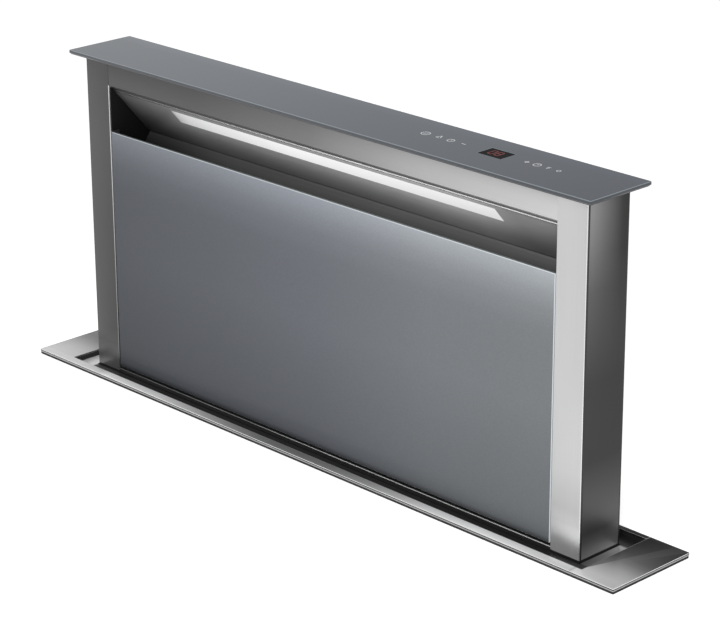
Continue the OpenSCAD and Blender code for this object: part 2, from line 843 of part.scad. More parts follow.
module upright() {
  x1 = tower_half;
  x0 = tower_half - upright_w;
  difference() {
    union() {
      span(x1 - sheet_t, x1, 0, tower_d, -hidden_l, tower_rise);
      span(x0, x1, 0, sheet_t, -hidden_l, tower_rise);
      span(x0, x0 + sheet_t, 0, tower_d - panel_t, -hidden_l, tower_rise);
      span(x0, x1, 0, tower_d - panel_t, tower_rise - sheet_t, tower_rise);
    }
    rod_x(hinge_pin_r + fit_gap, x0 - overrun, x0 + sheet_t + overrun, hinge_y, hinge_z);
  }
}

module left_upright() {
  color("gray") at_top() mirror([1, 0, 0]) upright();
}

module right_upright() {
  color("silver") at_top() upright();
}

module top_crossbar() {
  color("silver") at_top() {
    wide(bay_w, 0, sheet_t, slot_top, tower_rise);
    wide(bay_w, 0, 6 * sheet_t, slot_top, slot_top + sheet_t);
    wide(bay_w, 0, 10 * sheet_t, tower_rise - sheet_t, tower_rise);
  }
}

module back_panel() {
  color("silver") at_top() wide(tower_w - 2 * sheet_t, tower_d - panel_t, tower_d, -hidden_l, tower_rise);
}

module lower_front_panel() {
  color("gray") at_top() {
    wide(bay_w, 0, sheet_t, -hidden_l, -sill_gap);
    wide(bay_w, 0, filter_y1, -sill_gap - sheet_t, -sill_gap);
  }
}

module bottom_frame() {
  h = 8 * sheet_t;
  color("darkgray") at_top() difference() {
    wide(bay_w, sheet_t, tower_d - panel_t, -hidden_l, -hidden_l + h);
    wide(bay_w - 2 * sheet_t, 2 * sheet_t, tower_d - panel_t - sheet_t,
         -hidden_l - overrun, -hidden_l + h + overrun);
  }
}

// Cap and controls

module cap_carrier() {
  color("silver") at_top() difference() {
    round_plate(cap_w - 2 * carrier_inset, carrier_inset - cap_front, cap_d - cap_front - carrier_inset,
                tower_rise, tower_rise + cap_carrier_t, cap_corner_r);
    span(board_x0 - part_gap, board_x0 + touch_board_w + part_gap, board_y0 - part_gap,
         board_y0 + touch_board_d + part_gap, tower_rise - overrun, tower_rise + cap_carrier_t + overrun);
  }
}

module cap_glass() {
  z0 = tower_rise + cap_carrier_t;
  color([0.47, 0.49, 0.52]) at_top() difference() {
    round_plate(cap_w, -cap_front, cap_d - cap_front, z0, z0 + cap_glass_t, cap_corner_r);
    span(display_x - display_w / 2, display_x + display_w / 2, display_y - display_d / 2,
         display_y + display_d / 2, z0 - overrun, z0 + cap_glass_t + overrun);
  }
}

module display_window() {
  z0 = tower_rise + cap_carrier_t;
  color([0.08, 0.02, 0.02]) at_top()
    span(display_x - display_w / 2, display_x + display_w / 2, display_y - display_d / 2,
         display_y + display_d / 2, z0, z0 + cap_glass_t);
}

module touch_board() {
  color("darkgreen") at_top()
    span(board_x0, board_x0 + touch_board_w, board_y0, board_y0 + touch_board_d,
         tower_rise + cap_carrier_t - board_t, tower_rise + cap_carrier_t);
}

// Intake behind the front glass

// Draws children with Y down the slope of the ceiling and Z away from the air
module on_ceiling() {
  translate([0, ceiling_y0, ceiling_z0]) rotate([-ceiling_a, 0, 0]) children();
}

module intake_ceiling() {
  color("gray") at_top() on_ceiling() difference() {
    union() {
      wide(bay_w, 0, ceiling_l, 0, panel_t);
      wide(liner_w, lip_start, lip_start + panel_t, -panel_t, 0);
    }
    wide(led_l, led_start, led_start + led_w, -overrun, panel_t + overrun);
  }
}

module led_diffuser() {
  color("white") at_top() on_ceiling() wide(led_l, led_start, led_start + led_w, 0, panel_t);
}

module led_board() {
  color("ivory") at_top() on_ceiling()
    wide(led_l + 2 * led_start, led_start / 2, led_start + led_w + led_start / 2, panel_t, panel_t + board_t);
}

module throat_plate() {
  color("dimgray") at_top()
    slanted_sheet(bay_w, [filter_y0, throat_low_z], [ceiling_y1, ceiling_z1], panel_t);
}

module intake_cheeks() {
  front = glass_t + glass_tray_d + 2 * part_gap;
  step_z = glass_top + 2 * part_gap;
  color([0.06, 0.06, 0.06]) at_top() both_sides() along_x(liner_w / 2, liner_w / 2 + panel_t) polygon([
    [sheet_t, step_z], [sheet_t, ceiling_z0 - panel_t], [ceiling_y0, ceiling_z0 - panel_t],
    [ceiling_y1, ceiling_z1], [filter_y0, throat_low_z], [front, throat_low_z], [front, step_z]
  ]);
}

module filter_frame() {
  pane_z0 = ledge_z + filter_rim;
  pane_z1 = throat_low_z - filter_rim;
  color("darkgray") at_top() {
    difference() {
      wide(bay_w, filter_y1, filter_y1 + panel_t, -sill_gap - sheet_t,
           throat_low_z + filter_t / tan(throat_a) - 2 * panel_t);
      for (i = [0 : filter_count - 1])
        at_filter(i)
          wide(filter_w - 2 * filter_rim, filter_y1 - overrun, filter_y1 + panel_t + overrun,
               pane_z0, pane_z1);
    }
    wide(liner_w, filter_y0 - 2 * part_gap - panel_t, filter_y1, ledge_z - panel_t, ledge_z);
    wide(liner_w, filter_y0 - 2 * part_gap - panel_t, filter_y0 - 2 * part_gap,
         ledge_z - panel_t, ledge_z + 6 * panel_t);
  }
}

// The middle of filter place i, counted from the left
module at_filter(i) {
  translate([(i - (filter_count - 1) / 2) * liner_w / filter_count, 0, 0]) children();
}

// One baffle filter: a frame, its bars, and the grip it is lifted out by
module grease_filter() {
  z1 = throat_low_z - 2 * part_gap;
  inner_w = filter_w - 2 * filter_rim;
  pitch = inner_w / filter_bars;
  difference() {
    wide(filter_w, filter_y0, filter_y1, ledge_z, z1);
    wide(inner_w, filter_y0 - overrun, filter_y1 + overrun, ledge_z + filter_rim, z1 - filter_rim);
  }
  for (i = [0 : filter_bars - 1])
    translate([(i + 1 / 2) * pitch - inner_w / 2, 0, 0])
      wide(pitch * bar_share, filter_y0 + filter_t / 4, filter_y1 - filter_t / 4,
           ledge_z + filter_rim - part_gap, z1 - filter_rim + part_gap);
  wide(grip_w, filter_y0 - grip_t, filter_y0 + part_gap, z1 - filter_rim / 2 - grip_t, z1 - filter_rim / 2);
}

module grease_filter_left() {
  color("lightgray") at_top() at_filter(0) grease_filter();
}

module grease_filter_centre() {
  color("lightgray") at_top() at_filter(1) grease_filter();
}

module grease_filter_right() {
  color("lightgray") at_top() at_filter(2) grease_filter();
}

module drip_channel() {
  y0 = glass_t + glass_tray_d + 5 * part_gap;
  y1 = filter_y1 - part_gap;
  h = ledge_z - panel_t + sill_gap - 2 * part_gap;
  color("lightgray") at_top() difference() {
    wide(liner_w - 4 * part_gap, y0, y1, -sill_gap, -sill_gap + h);
    wide(liner_w - 4 * part_gap - 2 * panel_t, y0 + panel_t, y1 - panel_t, -sill_gap + panel_t, h);
  }
}

// What the belts pull on and the rails guide

module lift_brackets() {
  color("dimgray") at_top() both_sides() {
    span(tower_half, tower_half + bracket_t, rail_y - rail_w / 2, tower_d - 2 * stem_r,
         bracket_z0, bracket_z1);
    for (z = [shoe_high_z, shoe_low_z])
      rod_x(stem_r, tower_half, rail_x + rail_t + glide_gap, rail_y, z);
    for (y = [belt_y - belt_out_r - running_gap - jaw_t, belt_y - belt_in_r + running_gap])
      span(tower_half, pulley_x + pulley_w - 2 * running_gap, y, y + jaw_t,
           jaw_z - jaw_h / 2, jaw_z + jaw_h / 2);
  }
}

module glide_shoes() {
  side = rail_w - 2 * rail_t - 2 * glide_gap;
  color("whitesmoke") at_top() both_sides() for (z = [shoe_high_z, shoe_low_z])
    span(rail_x + rail_t + glide_gap, casing_half - rail_t - glide_gap,
         rail_y - side / 2, rail_y + side / 2, z - shoe_h / 2, z + shoe_h / 2);
}

// Tilting front glass

module front_glass() {
  color([0.45, 0.47, 0.5]) at_top() wide(glass_w, 0, glass_t, 0, glass_top);
}

module glass_carrier() {
  w = glass_w - 2 * tray_inset;
  y1 = glass_t + glass_tray_d;
  color("lightgray") at_top() difference() {
    wide(w, glass_t, y1, tray_inset, glass_top - tray_inset);
    wide(w - 2 * tray_sheet_t, glass_t + tray_sheet_t, y1 + overrun,
         tray_inset + tray_sheet_t, glass_top - tray_inset - tray_sheet_t);
    rod_x(hinge_pin_r + fit_gap, -w, w, hinge_y, hinge_z);
  }
}

module hinge_pins() {
  x1 = glass_w / 2 - tray_inset;
  color("dimgray") at_top() both_sides() {
    rod_x(hinge_pin_r, x1 - 4 * tray_sheet_t, tower_half - upright_w + 2 * sheet_t, hinge_y, hinge_z);
    rod_x(1.5 * hinge_pin_r, x1 - 4 * tray_sheet_t, x1 - tray_sheet_t, hinge_y, hinge_z);
  }
}

flange_plate();
recess_tray();
flange_gasket();
wiper_seal();
housing_front();
housing_back();
housing_shell();
levelling_feet();
worktop_clamps();
clamp_screws();
guide_rails();
idler_axles();
shaft_bearings();
lift_belts();
lift_gearbox();
lift_motor();
drive_shaft();
drive_pulleys();
idler_left();
idler_right();
blower_box();
blower_cover();
inlet_ring();
scroll_casing();
blower_motor();
impeller();
outlet_adapter();
outlet_spigot();
damper_pin();
damper_flap_front();
damper_flap_rear();
cover_screws();
control_box();
control_lid();
cable_gland();
left_upright();
right_upright();
top_crossbar();
back_panel();
lower_front_panel();
bottom_frame();
cap_carrier();
cap_glass();
display_window();
touch_board();
intake_ceiling();
led_diffuser();
led_board();
throat_plate();
intake_cheeks();
filter_frame();
grease_filter_left();
grease_filter_centre();
grease_filter_right();
drip_channel();
lift_brackets();
glide_shoes();
front_glass();
glass_carrier();
hinge_pins();
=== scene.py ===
# %% [markdown]
# # A rising downdraft vent, dressed for its picture
#
# A downdraft vent hides in the worktop behind a hob. A motor lifts its tower out of a steel flange, and air
# goes in through the slot under its glass cap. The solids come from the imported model, already in the right
# place, so the work here is finish: softened sheet edges, ground glass, brushed steel, printed symbols,
# and the light they are seen in. Everything is in metres.

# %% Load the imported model
import json
import math

import bmesh
import bpy
from mathutils import Matrix, Vector


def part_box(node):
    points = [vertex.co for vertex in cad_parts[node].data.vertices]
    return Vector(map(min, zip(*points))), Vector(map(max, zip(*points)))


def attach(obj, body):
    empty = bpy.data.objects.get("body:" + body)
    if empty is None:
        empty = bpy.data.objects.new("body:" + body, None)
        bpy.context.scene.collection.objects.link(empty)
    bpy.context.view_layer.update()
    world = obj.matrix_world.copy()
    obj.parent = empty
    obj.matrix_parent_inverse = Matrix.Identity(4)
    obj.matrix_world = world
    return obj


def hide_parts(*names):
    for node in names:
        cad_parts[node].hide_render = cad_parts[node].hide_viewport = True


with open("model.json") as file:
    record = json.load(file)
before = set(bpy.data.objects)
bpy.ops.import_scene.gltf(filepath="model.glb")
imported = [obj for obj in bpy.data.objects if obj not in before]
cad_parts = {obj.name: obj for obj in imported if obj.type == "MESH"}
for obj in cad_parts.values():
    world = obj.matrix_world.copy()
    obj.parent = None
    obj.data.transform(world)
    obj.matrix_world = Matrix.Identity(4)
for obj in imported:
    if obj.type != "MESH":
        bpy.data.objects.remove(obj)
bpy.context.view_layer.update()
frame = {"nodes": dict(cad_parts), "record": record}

# %% [markdown]
# Two measures are handy all the time: the level of the flange's top and the plane of the tower's front.
# A drawing of such a vent would give its sizes in millimetres from those two, so a small helper turns
# such a place into metres in the model's own frame.

# %% Places in millimetres from the tower's front and the flange's top
MM = 0.001
FLANGE_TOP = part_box("flange_plate")[1].z
TOWER_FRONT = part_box("right_upright")[0].y


def at(x, y, z):
    """A place given in millimetres right of the middle, behind the tower's front, above the flange."""
    return Vector((x * MM, TOWER_FRONT + y * MM, FLANGE_TOP + z * MM))


low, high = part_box("flange_plate")
print("flange", [round(v / MM, 1) for v in high - low], "level", round(FLANGE_TOP / MM, 1))

# %% [markdown]
# ## The camera
#
# The picture was taken from the front right, a little above the cap, with a long lens. A camera that was
# fitted to corners and edges in the picture gives the angles, the distance and the lens. The target is a
# point on its axis, in front of the tower and to its right, and the distance is counted from there. The
# slight shift keeps the picture's own framing.

# %% Camera at the picture's viewing angle
AZIMUTH = math.radians(46.12)
ELEVATION = math.radians(20.44)
ROLL = math.radians(-0.342)
TARGET = at(422.932, -344.463, 361.993)
DISTANCE = 2.200476
IMAGE_WIDTH, IMAGE_HEIGHT = 720, 631
FOCAL_PIXELS = 2610.96
CENTRE_X, CENTRE_Y = 358.18, 309.68
SENSOR_MM = 36
NEAREST, FARTHEST = 0.05, 60

cam_data = bpy.data.cameras.new("camera")
cam_data.sensor_width = SENSOR_MM
cam_data.lens = FOCAL_PIXELS / IMAGE_WIDTH * SENSOR_MM
cam_data.shift_x = (IMAGE_WIDTH / 2 - CENTRE_X) / IMAGE_WIDTH
cam_data.shift_y = (CENTRE_Y - IMAGE_HEIGHT / 2) / IMAGE_WIDTH
cam_data.clip_start, cam_data.clip_end = NEAREST, FARTHEST
camera = bpy.data.objects.new("camera", cam_data)
bpy.context.scene.collection.objects.link(camera)
bpy.context.scene.camera = camera

back = Vector((math.sin(AZIMUTH) * math.cos(ELEVATION), -math.cos(AZIMUTH) * math.cos(ELEVATION),
               math.sin(ELEVATION)))
look = back.to_track_quat("Z", "Y").to_matrix().to_4x4()
camera.matrix_world = Matrix.Translation(TARGET + back * DISTANCE) @ look @ Matrix.Rotation(ROLL, 4, "Z")
print("lens", round(cam_data.lens, 1), "mm")

# %% [markdown]
# ## Tools for materials
#
# Every finish here is a small node tree that reads Object coordinates, which are metres in the model's
# frame. A helper makes nodes and joins them, so each recipe below stays short. Steel, glass and rubber
# differ mostly in three things: the base colour, how rough they are, and what fine pattern breaks both up.

# %% A short way to write node trees


class Finish:
    """A material whose nodes are made and joined in one call each."""

    def __init__(self, name, metallic=0.0, roughness=0.5, **sockets):
        self.material = bpy.data.materials.new(name)
        self.material.use_nodes = True
        self.nodes = self.material.node_tree.nodes
        self.links = self.material.node_tree.links
        self.shader = self.nodes["Principled BSDF"]
        self.shader.inputs["Metallic"].default_value = metallic
        self.shader.inputs["Roughness"].default_value = roughness
        for label, value in sockets.items():
            self.shader.inputs[label.replace("_", " ")].default_value = value
        self.place = self.nodes.new("ShaderNodeTexCoord").outputs["Object"]

    def join(self, value, socket):
        """Links a node's output to a socket, or sets the socket where the value is a constant."""
        if isinstance(value, bpy.types.NodeSocket):
            self.links.new(value, socket)
        else:
            socket.default_value = value

    def noise(self, scale, stretch=(1, 1, 1), detail=3.0):
        """A soft random grey; a large stretch along an axis makes it fine there."""
        spread = self.nodes.new("ShaderNodeMapping")
        spread.inputs["Scale"].default_value = stretch
        self.links.new(self.place, spread.inputs["Vector"])
        node = self.nodes.new("ShaderNodeTexNoise")
        node.inputs["Scale"].default_value = scale
        node.inputs["Detail"].default_value = detail
        self.links.new(spread.outputs["Vector"], node.inputs["Vector"])
        return node.outputs["Fac"]

    def cells(self, scale):
        """A random colour for each of many crystal-shaped cells."""
        node = self.nodes.new("ShaderNodeTexVoronoi")
        node.inputs["Scale"].default_value = scale
        self.links.new(self.place, node.inputs["Vector"])
        return node.outputs["Color"]

    def along(self, axis, start, end):
        """0 at start and 1 at end along one axis, held beyond them."""
        split = self.nodes.new("ShaderNodeSeparateXYZ")
        self.links.new(self.place, split.inputs["Vector"])
        return self.spread(split.outputs[axis], start, end)

    def spread(self, value, start, end, low=0.0, high=1.0):
        """Maps start to end onto low to high, held beyond them."""
        node = self.nodes.new("ShaderNodeMapRange")
        node.clamp = True
        self.join(value, node.inputs["Value"])
        for label, number in (("From Min", start), ("From Max", end), ("To Min", low), ("To Max", high)):
            node.inputs[label].default_value = number
        return node.outputs["Result"]

    def ramp(self, value, stops):
        """Colours at places from 0 to 1; a stop is (place, colour)."""
        node = self.nodes.new("ShaderNodeValToRGB")
        ramp = node.color_ramp
        while len(ramp.elements) < len(stops):
            ramp.elements.new(0.5)
        for element, (place, colour) in zip(ramp.elements, stops):
            element.position = place
            element.color = tone(colour)
        self.links.new(value, node.inputs["Fac"])
        return node.outputs["Color"]

    def mix(self, share, a, b, how="MIX"):
        """A blend of two colours: a where the share is 0, and b where it is 1."""
        node = self.nodes.new("ShaderNodeMix")
        node.data_type = "RGBA"
        node.blend_type = how
        self.join(share, node.inputs["Factor"])
        for value, socket in ((a, node.inputs["A"]), (b, node.inputs["B"])):
            self.join(value if isinstance(value, bpy.types.NodeSocket) else tone(value), socket)
        return node.outputs["Result"]

    def times(self, a, b):
        """One colour multiplied by another."""
        return self.mix(1.0, a, b, "MULTIPLY")

    def sum(self, a, b, how="ADD"):
        """Two numbers added, or joined by another Math operation."""
        node = self.nodes.new("ShaderNodeMath")
        node.operation = how
        self.join(a, node.inputs[0])
        self.join(b, node.inputs[1])
        return node.outputs["Value"]

    def colour(self, value):
        self.join(value, self.shader.inputs["Base Color"])
        return self

    def rough(self, value, low, high):
        """Roughness that follows a noise, which hardly leaves the part from 0.3 to 0.7."""
        self.links.new(self.spread(value, 0.3, 0.7, low, high), self.shader.inputs["Roughness"])
        return self

    def bump(self, height, depth, strength):
        node = self.nodes.new("ShaderNodeBump")
        node.inputs["Strength"].default_value = strength
        node.inputs["Distance"].default_value = depth
        self.links.new(height, node.inputs["Height"])
        self.links.new(node.outputs["Normal"], self.shader.inputs["Normal"])
        return self


def tone(colour):
    """A grey given as one number, or a colour as three, in linear light."""
    return (colour,) * 3 + (1,) if isinstance(colour, (int, float)) else tuple(colour[:3]) + (1,)


print("a grey of 0.5 as a colour", tone(0.5))

# %% [markdown]
# A tone that changes over a piece needs a span: an axis, the place where the change starts and the place
# where it ends. Most spans here are the width, height or depth of a piece, so they come from its own box.
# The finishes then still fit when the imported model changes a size.

# %% Spans that tones run over


def span_of(node, axis):
    """The axis and both ends of a node's box along it."""
    low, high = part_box(node)
    number = "XYZ".index(axis)
    return axis, low[number], high[number]


ALONG_FLANGE = span_of("flange_plate", "X")
ALONG_CAP = span_of("cap_glass", "X")
ALONG_FRONT = span_of("top_crossbar", "X")
TOWER_DEEP = span_of("right_upright", "Y")
TOWER_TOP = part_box("right_upright")[1].z
TOWER_HIGH = ("Z", FLANGE_TOP, TOWER_TOP)
print("tower", round((TOWER_TOP - FLANGE_TOP) / MM, 1), "mm over the flange")

# %% [markdown]
# ## Brushed steel
#
# Brushed sheet is steel drawn past a belt, which leaves fine scratches in one direction. Noise that is
# squeezed hard along the grain gives them. The scratches change the colour a little, the roughness more,
# and lift the surface by a hair. A broad, soft change of tone along the sheet is painted reflection of the
# room and painted shade, so each panel gets its own tones along its length.

# %% Brushed steel with its grain along a chosen axis
ALONG_GRAIN, ACROSS_GRAIN = 5, 1500
SCRATCH_DEPTH = 0.02 * MM


def grain_over(steel, base, grain, roughness, contrast=0.035):
    """Lays the scratches of brushed sheet over a base colour; grain is the axis they run along."""
    stretch = [ALONG_GRAIN if axis == grain else ACROSS_GRAIN for axis in "XYZ"]
    streaks = steel.noise(1.0, stretch, detail=3.0)
    cloud = steel.noise(7.0, detail=2.0)
    streaked = steel.times(base, steel.ramp(streaks, [(0.25, 1 - contrast), (0.75, 1 + contrast)]))
    steel.colour(steel.times(streaked, steel.ramp(cloud, [(0.3, 0.98), (0.7, 1.02)])))
    steel.rough(streaks, roughness - 0.04, roughness + 0.05)
    return steel.bump(streaks, SCRATCH_DEPTH, 0.12).material


def brushed(name, grain, stops, span, roughness=0.34, metallic=0.8):
    """Brushed sheet whose tone runs through the stops over a span."""
    steel = Finish(name, metallic=metallic)
    return grain_over(steel, steel.ramp(steel.along(*span), stops), grain, roughness)


print("scratches every", round(1000 / ACROSS_GRAIN, 2), "mm")

# %% [markdown]
# The tones below are painted light, shade and reflection, matched to the picture by trial, panel by panel.
# The left upright is painted darkest and the right one lightest, each with a painted reflection at its foot.
# The crossbar's painted tone leads from one to the other, and its lower edge gets a painted highlight for the
# light of the slot. The sill's face is painted shade and its edge a painted highlight, as is the left fold. A
# share of 0 is the foot or the left end of a piece, and 1 its top or its right end.

# %% Steels of the tower's front
# Painted shade, with a painted reflection at the foot.
upright_left_steel = brushed("brushed steel, left upright", "Z", [
    (0, 0.24), (0.035, 0.17), (0.07, 0.09), (0.12, 0.064), (0.18, 0.062), (0.5, 0.071), (0.75, 0.083),
    (1, 0.073)], TOWER_HIGH)
# Painted light, with a bright painted reflection at the foot.
upright_right_steel = brushed("brushed steel, right upright", "Z", [
    (0, 1.0), (0.04, 0.82), (0.08, 0.56), (0.12, 0.47), (0.17, 0.49), (0.23, 0.53), (0.5, 0.54),
    (0.75, 0.535), (1, 0.51)], TOWER_HIGH)
# Painted light and shade: dark at the left, light at the right.
crossbar_steel = brushed("brushed steel, crossbar", "X", [
    (0, 0.062), (0.22, 0.08), (0.49, 0.172), (0.74, 0.395), (1, 0.53)], ALONG_FRONT)
# A painted highlight standing for the light of the slot.
crossbar_edge_highlight = brushed("lower edge of the crossbar, painted highlight", "X", [
    (0, 0.09), (0.22, 0.14), (0.49, 0.33), (0.74, 0.58), (1, 0.70)], ALONG_FRONT)
# Painted shade on the sill's face.
sill_steel = brushed("brushed steel, sill", "X", [(0, 0.045), (1, 0.06)], ALONG_FRONT)
# A painted highlight on the sill's front edge.
sill_edge_highlight = brushed("edge of the sill, painted highlight", "X", [(0, 0.22), (0.35, 0.38), (0.5, 0.75), (1, 1.0)], ALONG_FRONT)
# A painted highlight on the fold of the left upright.
fold_highlight = brushed("fold of an upright, painted highlight", "Z", [
    (0, 0.20), (0.3, 0.36), (0.7, 0.70), (1, 0.85)], TOWER_HIGH, roughness=0.25)
print("steels from", upright_left_steel.name, "to", fold_highlight.name)

# %% [markdown]
# Faces that are cut, folded away or hidden need tones as well. A cut edge gets a bright painted highlight.
# The flange's lower edge, the walls of the recess and the steel under the glass get painted shade, and the
# back is an even, softer grey.

# %% Steels of the back and of cut edges
back_steel = brushed("brushed steel, back", "X", [(0, 0.30), (0.5, 0.38), (1, 0.30)],
                     span_of("back_panel", "X"))
# Painted shade on the steel under the glass.
carrier_shade = brushed("steel under the glass, painted shade", "X", [(0, 0.07), (1, 0.05)], ALONG_CAP)
# A painted highlight on cut edges and on the right upright's fold.
cut_edge_highlight = brushed("cut edge, painted highlight", "X", [(0, 0.75), (1, 0.85)], ALONG_FLANGE, roughness=0.25)
# Painted shade on the flange's cut face.
rim_shade = brushed("edge of the flange, painted shade", "X", [(0, 0.025), (1, 0.03)], ALONG_FLANGE)
# Painted shade on the walls of the recess.
recess_wall_shade = brushed("wall of the recess, painted shade", "X", [(0, 0.035), (1, 0.03)], ALONG_FLANGE, metallic=0.4)
tray_rim = brushed("edge of the tray's rim", "X", [(0, 0.42), (1, 0.38)], ALONG_FLANGE, metallic=0.4)
print("materials so far", len(bpy.data.materials))

# %% [markdown]
# The side of the right upright is painted dark as shade, with a painted glow where it meets the cap and a
# painted reflection at its foot. The glow fades downwards and to the back. Two ramps make it, one over the
# height and one over the depth. The painted darkening to the back is full near the top and fades out towards
# the foot.

# %% The sides of the tower
# The painted shade of the tower's side.
SIDE_SHADE = 0.03


def tower_side():
    steel = Finish("brushed steel, tower sides", metallic=0.8)
    # Painted glow near the cap and painted reflection at the foot.
    height = steel.ramp(steel.along("Z", FLANGE_TOP - 10 * MM, TOWER_TOP), [
        (0.005, 0.55), (0.035, 0.34), (0.060, 0.17), (0.080, 0.09), (0.12, 0.095), (0.2, 0.069),
        (0.28, 0.041), (0.5, 0.050), (0.75, 0.115), (1, 0.30)])
    backward = steel.ramp(steel.along(*TOWER_DEEP), [
        (0, 0.0), (0.13, 0.03), (0.42, 0.43), (0.83, 0.94), (1, 1.0)])
    high = steel.along("Z", FLANGE_TOP + 60 * MM, FLANGE_TOP + 310 * MM)
    # Painted shade towards the back, full near the top.
    dimmed = steel.sum(backward, high, "MULTIPLY")
    return grain_over(steel, steel.mix(dimmed, height, SIDE_SHADE), "Z", 0.34)


side_steel = tower_side()
print("nodes in the side's steel", len(side_steel.node_tree.nodes))

# %% [markdown]
# The flange's tones are painted reflection of a softly lit room, on a sheet that hardly mirrors at all. Its
# front strip and left end are painted light. Its right end is painted light at the front and falls off to the
# back, and a slanted line parts the painted light from a painted dark wedge beside the recess. That line is a
# straight blend between two tones, across a coordinate that a pair of Math nodes slants. The strip in front
# of the tower carries painted reflection of its dark glass in the middle and of the light room at both ends.
# The brim is a fine painted highlight along the right edge of the opening.

# %% Steel of the flange
STRIP_BACK, STRIP_FRONT = TOWER_FRONT - 20.5 * MM, TOWER_FRONT - 22.5 * MM
SHEET_DEEP = ("Y", TOWER_FRONT - 32 * MM, TOWER_FRONT + 80 * MM)
SLANT = 0.327
WEDGE_LINE = (397.5 * MM, 399.0 * MM)
BRIM_LEFT = ("X", 399.3 * MM, 399.6 * MM)
BRIM_RIGHT = ("X", 400.4 * MM, 400.1 * MM)


def slanted_place(steel):
    """The place in x, moved along with the depth, so a line across it lies slanted on the sheet."""
    split = steel.nodes.new("ShaderNodeSeparateXYZ")
    steel.links.new(steel.place, split.inputs["Vector"])
    deep = steel.sum(split.outputs["Y"], STRIP_BACK, "SUBTRACT")
    return steel.sum(split.outputs["X"], steel.sum(deep, SLANT, "MULTIPLY"), "SUBTRACT")


def flange_end(steel, backward, shade_tones, in_front):
    """The right end: painted light in front; beside the opening a painted dark wedge and brim highlight."""
    # Painted light of the right end, falling off to the back.
    lit_tones = steel.ramp(backward, [
        (0, 0.80), (0.125, 0.76), (0.196, 0.66), (0.285, 0.52), (0.375, 0.35), (0.465, 0.21),
        (0.555, 0.125), (0.645, 0.09), (0.73, 0.06), (0.82, 0.042), (1, 0.022)])
    outward = steel.ramp(steel.along("X", 400 * MM, 445 * MM), [(0, 1.0), (1, 0.72)])
    lit_tones = steel.times(lit_tones, outward)
    end = steel.mix(steel.spread(slanted_place(steel), *WEDGE_LINE), shade_tones, lit_tones)
    # A painted highlight along the brim.
    brim = steel.sum(steel.along(*BRIM_LEFT), steel.along(*BRIM_RIGHT), "MULTIPLY")
    return steel.mix(in_front, steel.mix(brim, end, 0.34), lit_tones)


def flange_sheet():
    steel = Finish("brushed steel, flange", metallic=0.2, Specular_IOR_Level=0.02)
    backward = steel.along(*SHEET_DEEP)
    in_front = steel.along("Y", STRIP_BACK, STRIP_FRONT)
    # Painted shade beside the recess.
    shade_tones = steel.ramp(backward, [
        (0, 0.22), (0.285, 0.21), (0.375, 0.20), (0.465, 0.14), (0.555, 0.075), (0.645, 0.036),
        (0.82, 0.008), (1, 0.003)])
    # Painted reflection of the light room on the left end.
    left_part = steel.ramp(backward, [
        (0, 0.66), (0.125, 0.66), (0.2, 0.62), (0.285, 0.56), (0.375, 0.48), (0.465, 0.37), (0.555, 0.27),
        (0.645, 0.21), (1, 0.20)])
    left_part = steel.mix(steel.along("X", 100 * MM, 380 * MM), left_part, shade_tones)
    # Painted reflection in the front strip: dark glass in the middle, light room at both ends.
    strip = steel.ramp(steel.along(*ALONG_FLANGE), [
        (0.056, 0.71), (0.122, 0.70), (0.137, 0.98), (0.189, 0.90), (0.233, 0.85), (0.278, 0.66),
        (0.322, 0.48), (0.367, 0.35), (0.433, 0.22), (0.5, 0.20), (0.556, 0.24), (0.611, 0.36),
        (0.667, 0.57), (0.722, 0.83), (0.789, 1.0), (0.856, 0.90), (0.922, 0.68), (0.989, 0.58)])
    in_strip = steel.sum(in_front, steel.along("X", 400 * MM, 390 * MM), "MULTIPLY")
    right_end = flange_end(steel, backward, shade_tones, in_front)
    ends = steel.mix(steel.along("X", 393 * MM, 395 * MM), left_part, right_end)
    return grain_over(steel, steel.mix(in_strip, ends, strip), "X", 0.36)


flange_steel = flange_sheet()
print("nodes in the flange's steel", len(flange_steel.node_tree.nodes))

# %% [markdown]
# The light of the strip on the slanted sheets in the slot is painted into their colour. The ceiling is
# painted brightest beside the strip and its far edge is painted shade. The throat below it starts with a
# painted light line and darkens downwards. The ceiling ends in a small folded lip behind the crossbar,
# painted as one fine bright line between painted dark ones.

# %% Sheets in the slot
SLOT_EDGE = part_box("throat_plate")[1].z
LIP_LOW, LIP_HIGH = FLANGE_TOP + 332.9 * MM, FLANGE_TOP + 334.7 * MM


def slot_sheet(name, across, down, low, high):
    """A sheet with painted light across the slot, dimmed by painted shade from its low to its high edge."""
    steel = Finish(name, metallic=0.2, Specular_IOR_Level=0.3)
    # Painted light across the slot, then painted shade over the height.
    lengthwise = steel.ramp(steel.along(*ALONG_FRONT), across)
    shade = steel.ramp(steel.along("Z", low, high), down)
    return grain_over(steel, steel.times(lengthwise, shade), "X", 0.45, 0.07)


# Painted light of the strip on the ceiling.
ceiling_steel = slot_sheet(
    "brushed steel, slot ceiling",
    [(0, 0.15), (0.06, 0.19), (0.13, 0.29), (0.17, 0.37), (0.45, 0.52), (0.72, 0.67), (0.81, 0.62),
     (0.87, 0.45), (0.90, 0.36), (1, 0.34)],
    [(0, 0.35), (0.02, 0.55), (0.05, 0.9), (0.3, 1.0), (1, 1.0)], SLOT_EDGE, SLOT_EDGE + 64 * MM)
# Painted shade in the throat, with a painted light line at its top.
throat_steel = slot_sheet(
    "steel in the shade of the slot", [(0, 0.05), (0.3, 0.075), (0.6, 0.11), (1, 0.12)],
    [(0, 0.6), (0.3, 0.75), (0.5, 0.95), (0.75, 1.1), (0.9, 1.4), (1, 1.5)], SLOT_EDGE - 10 * MM, SLOT_EDGE)
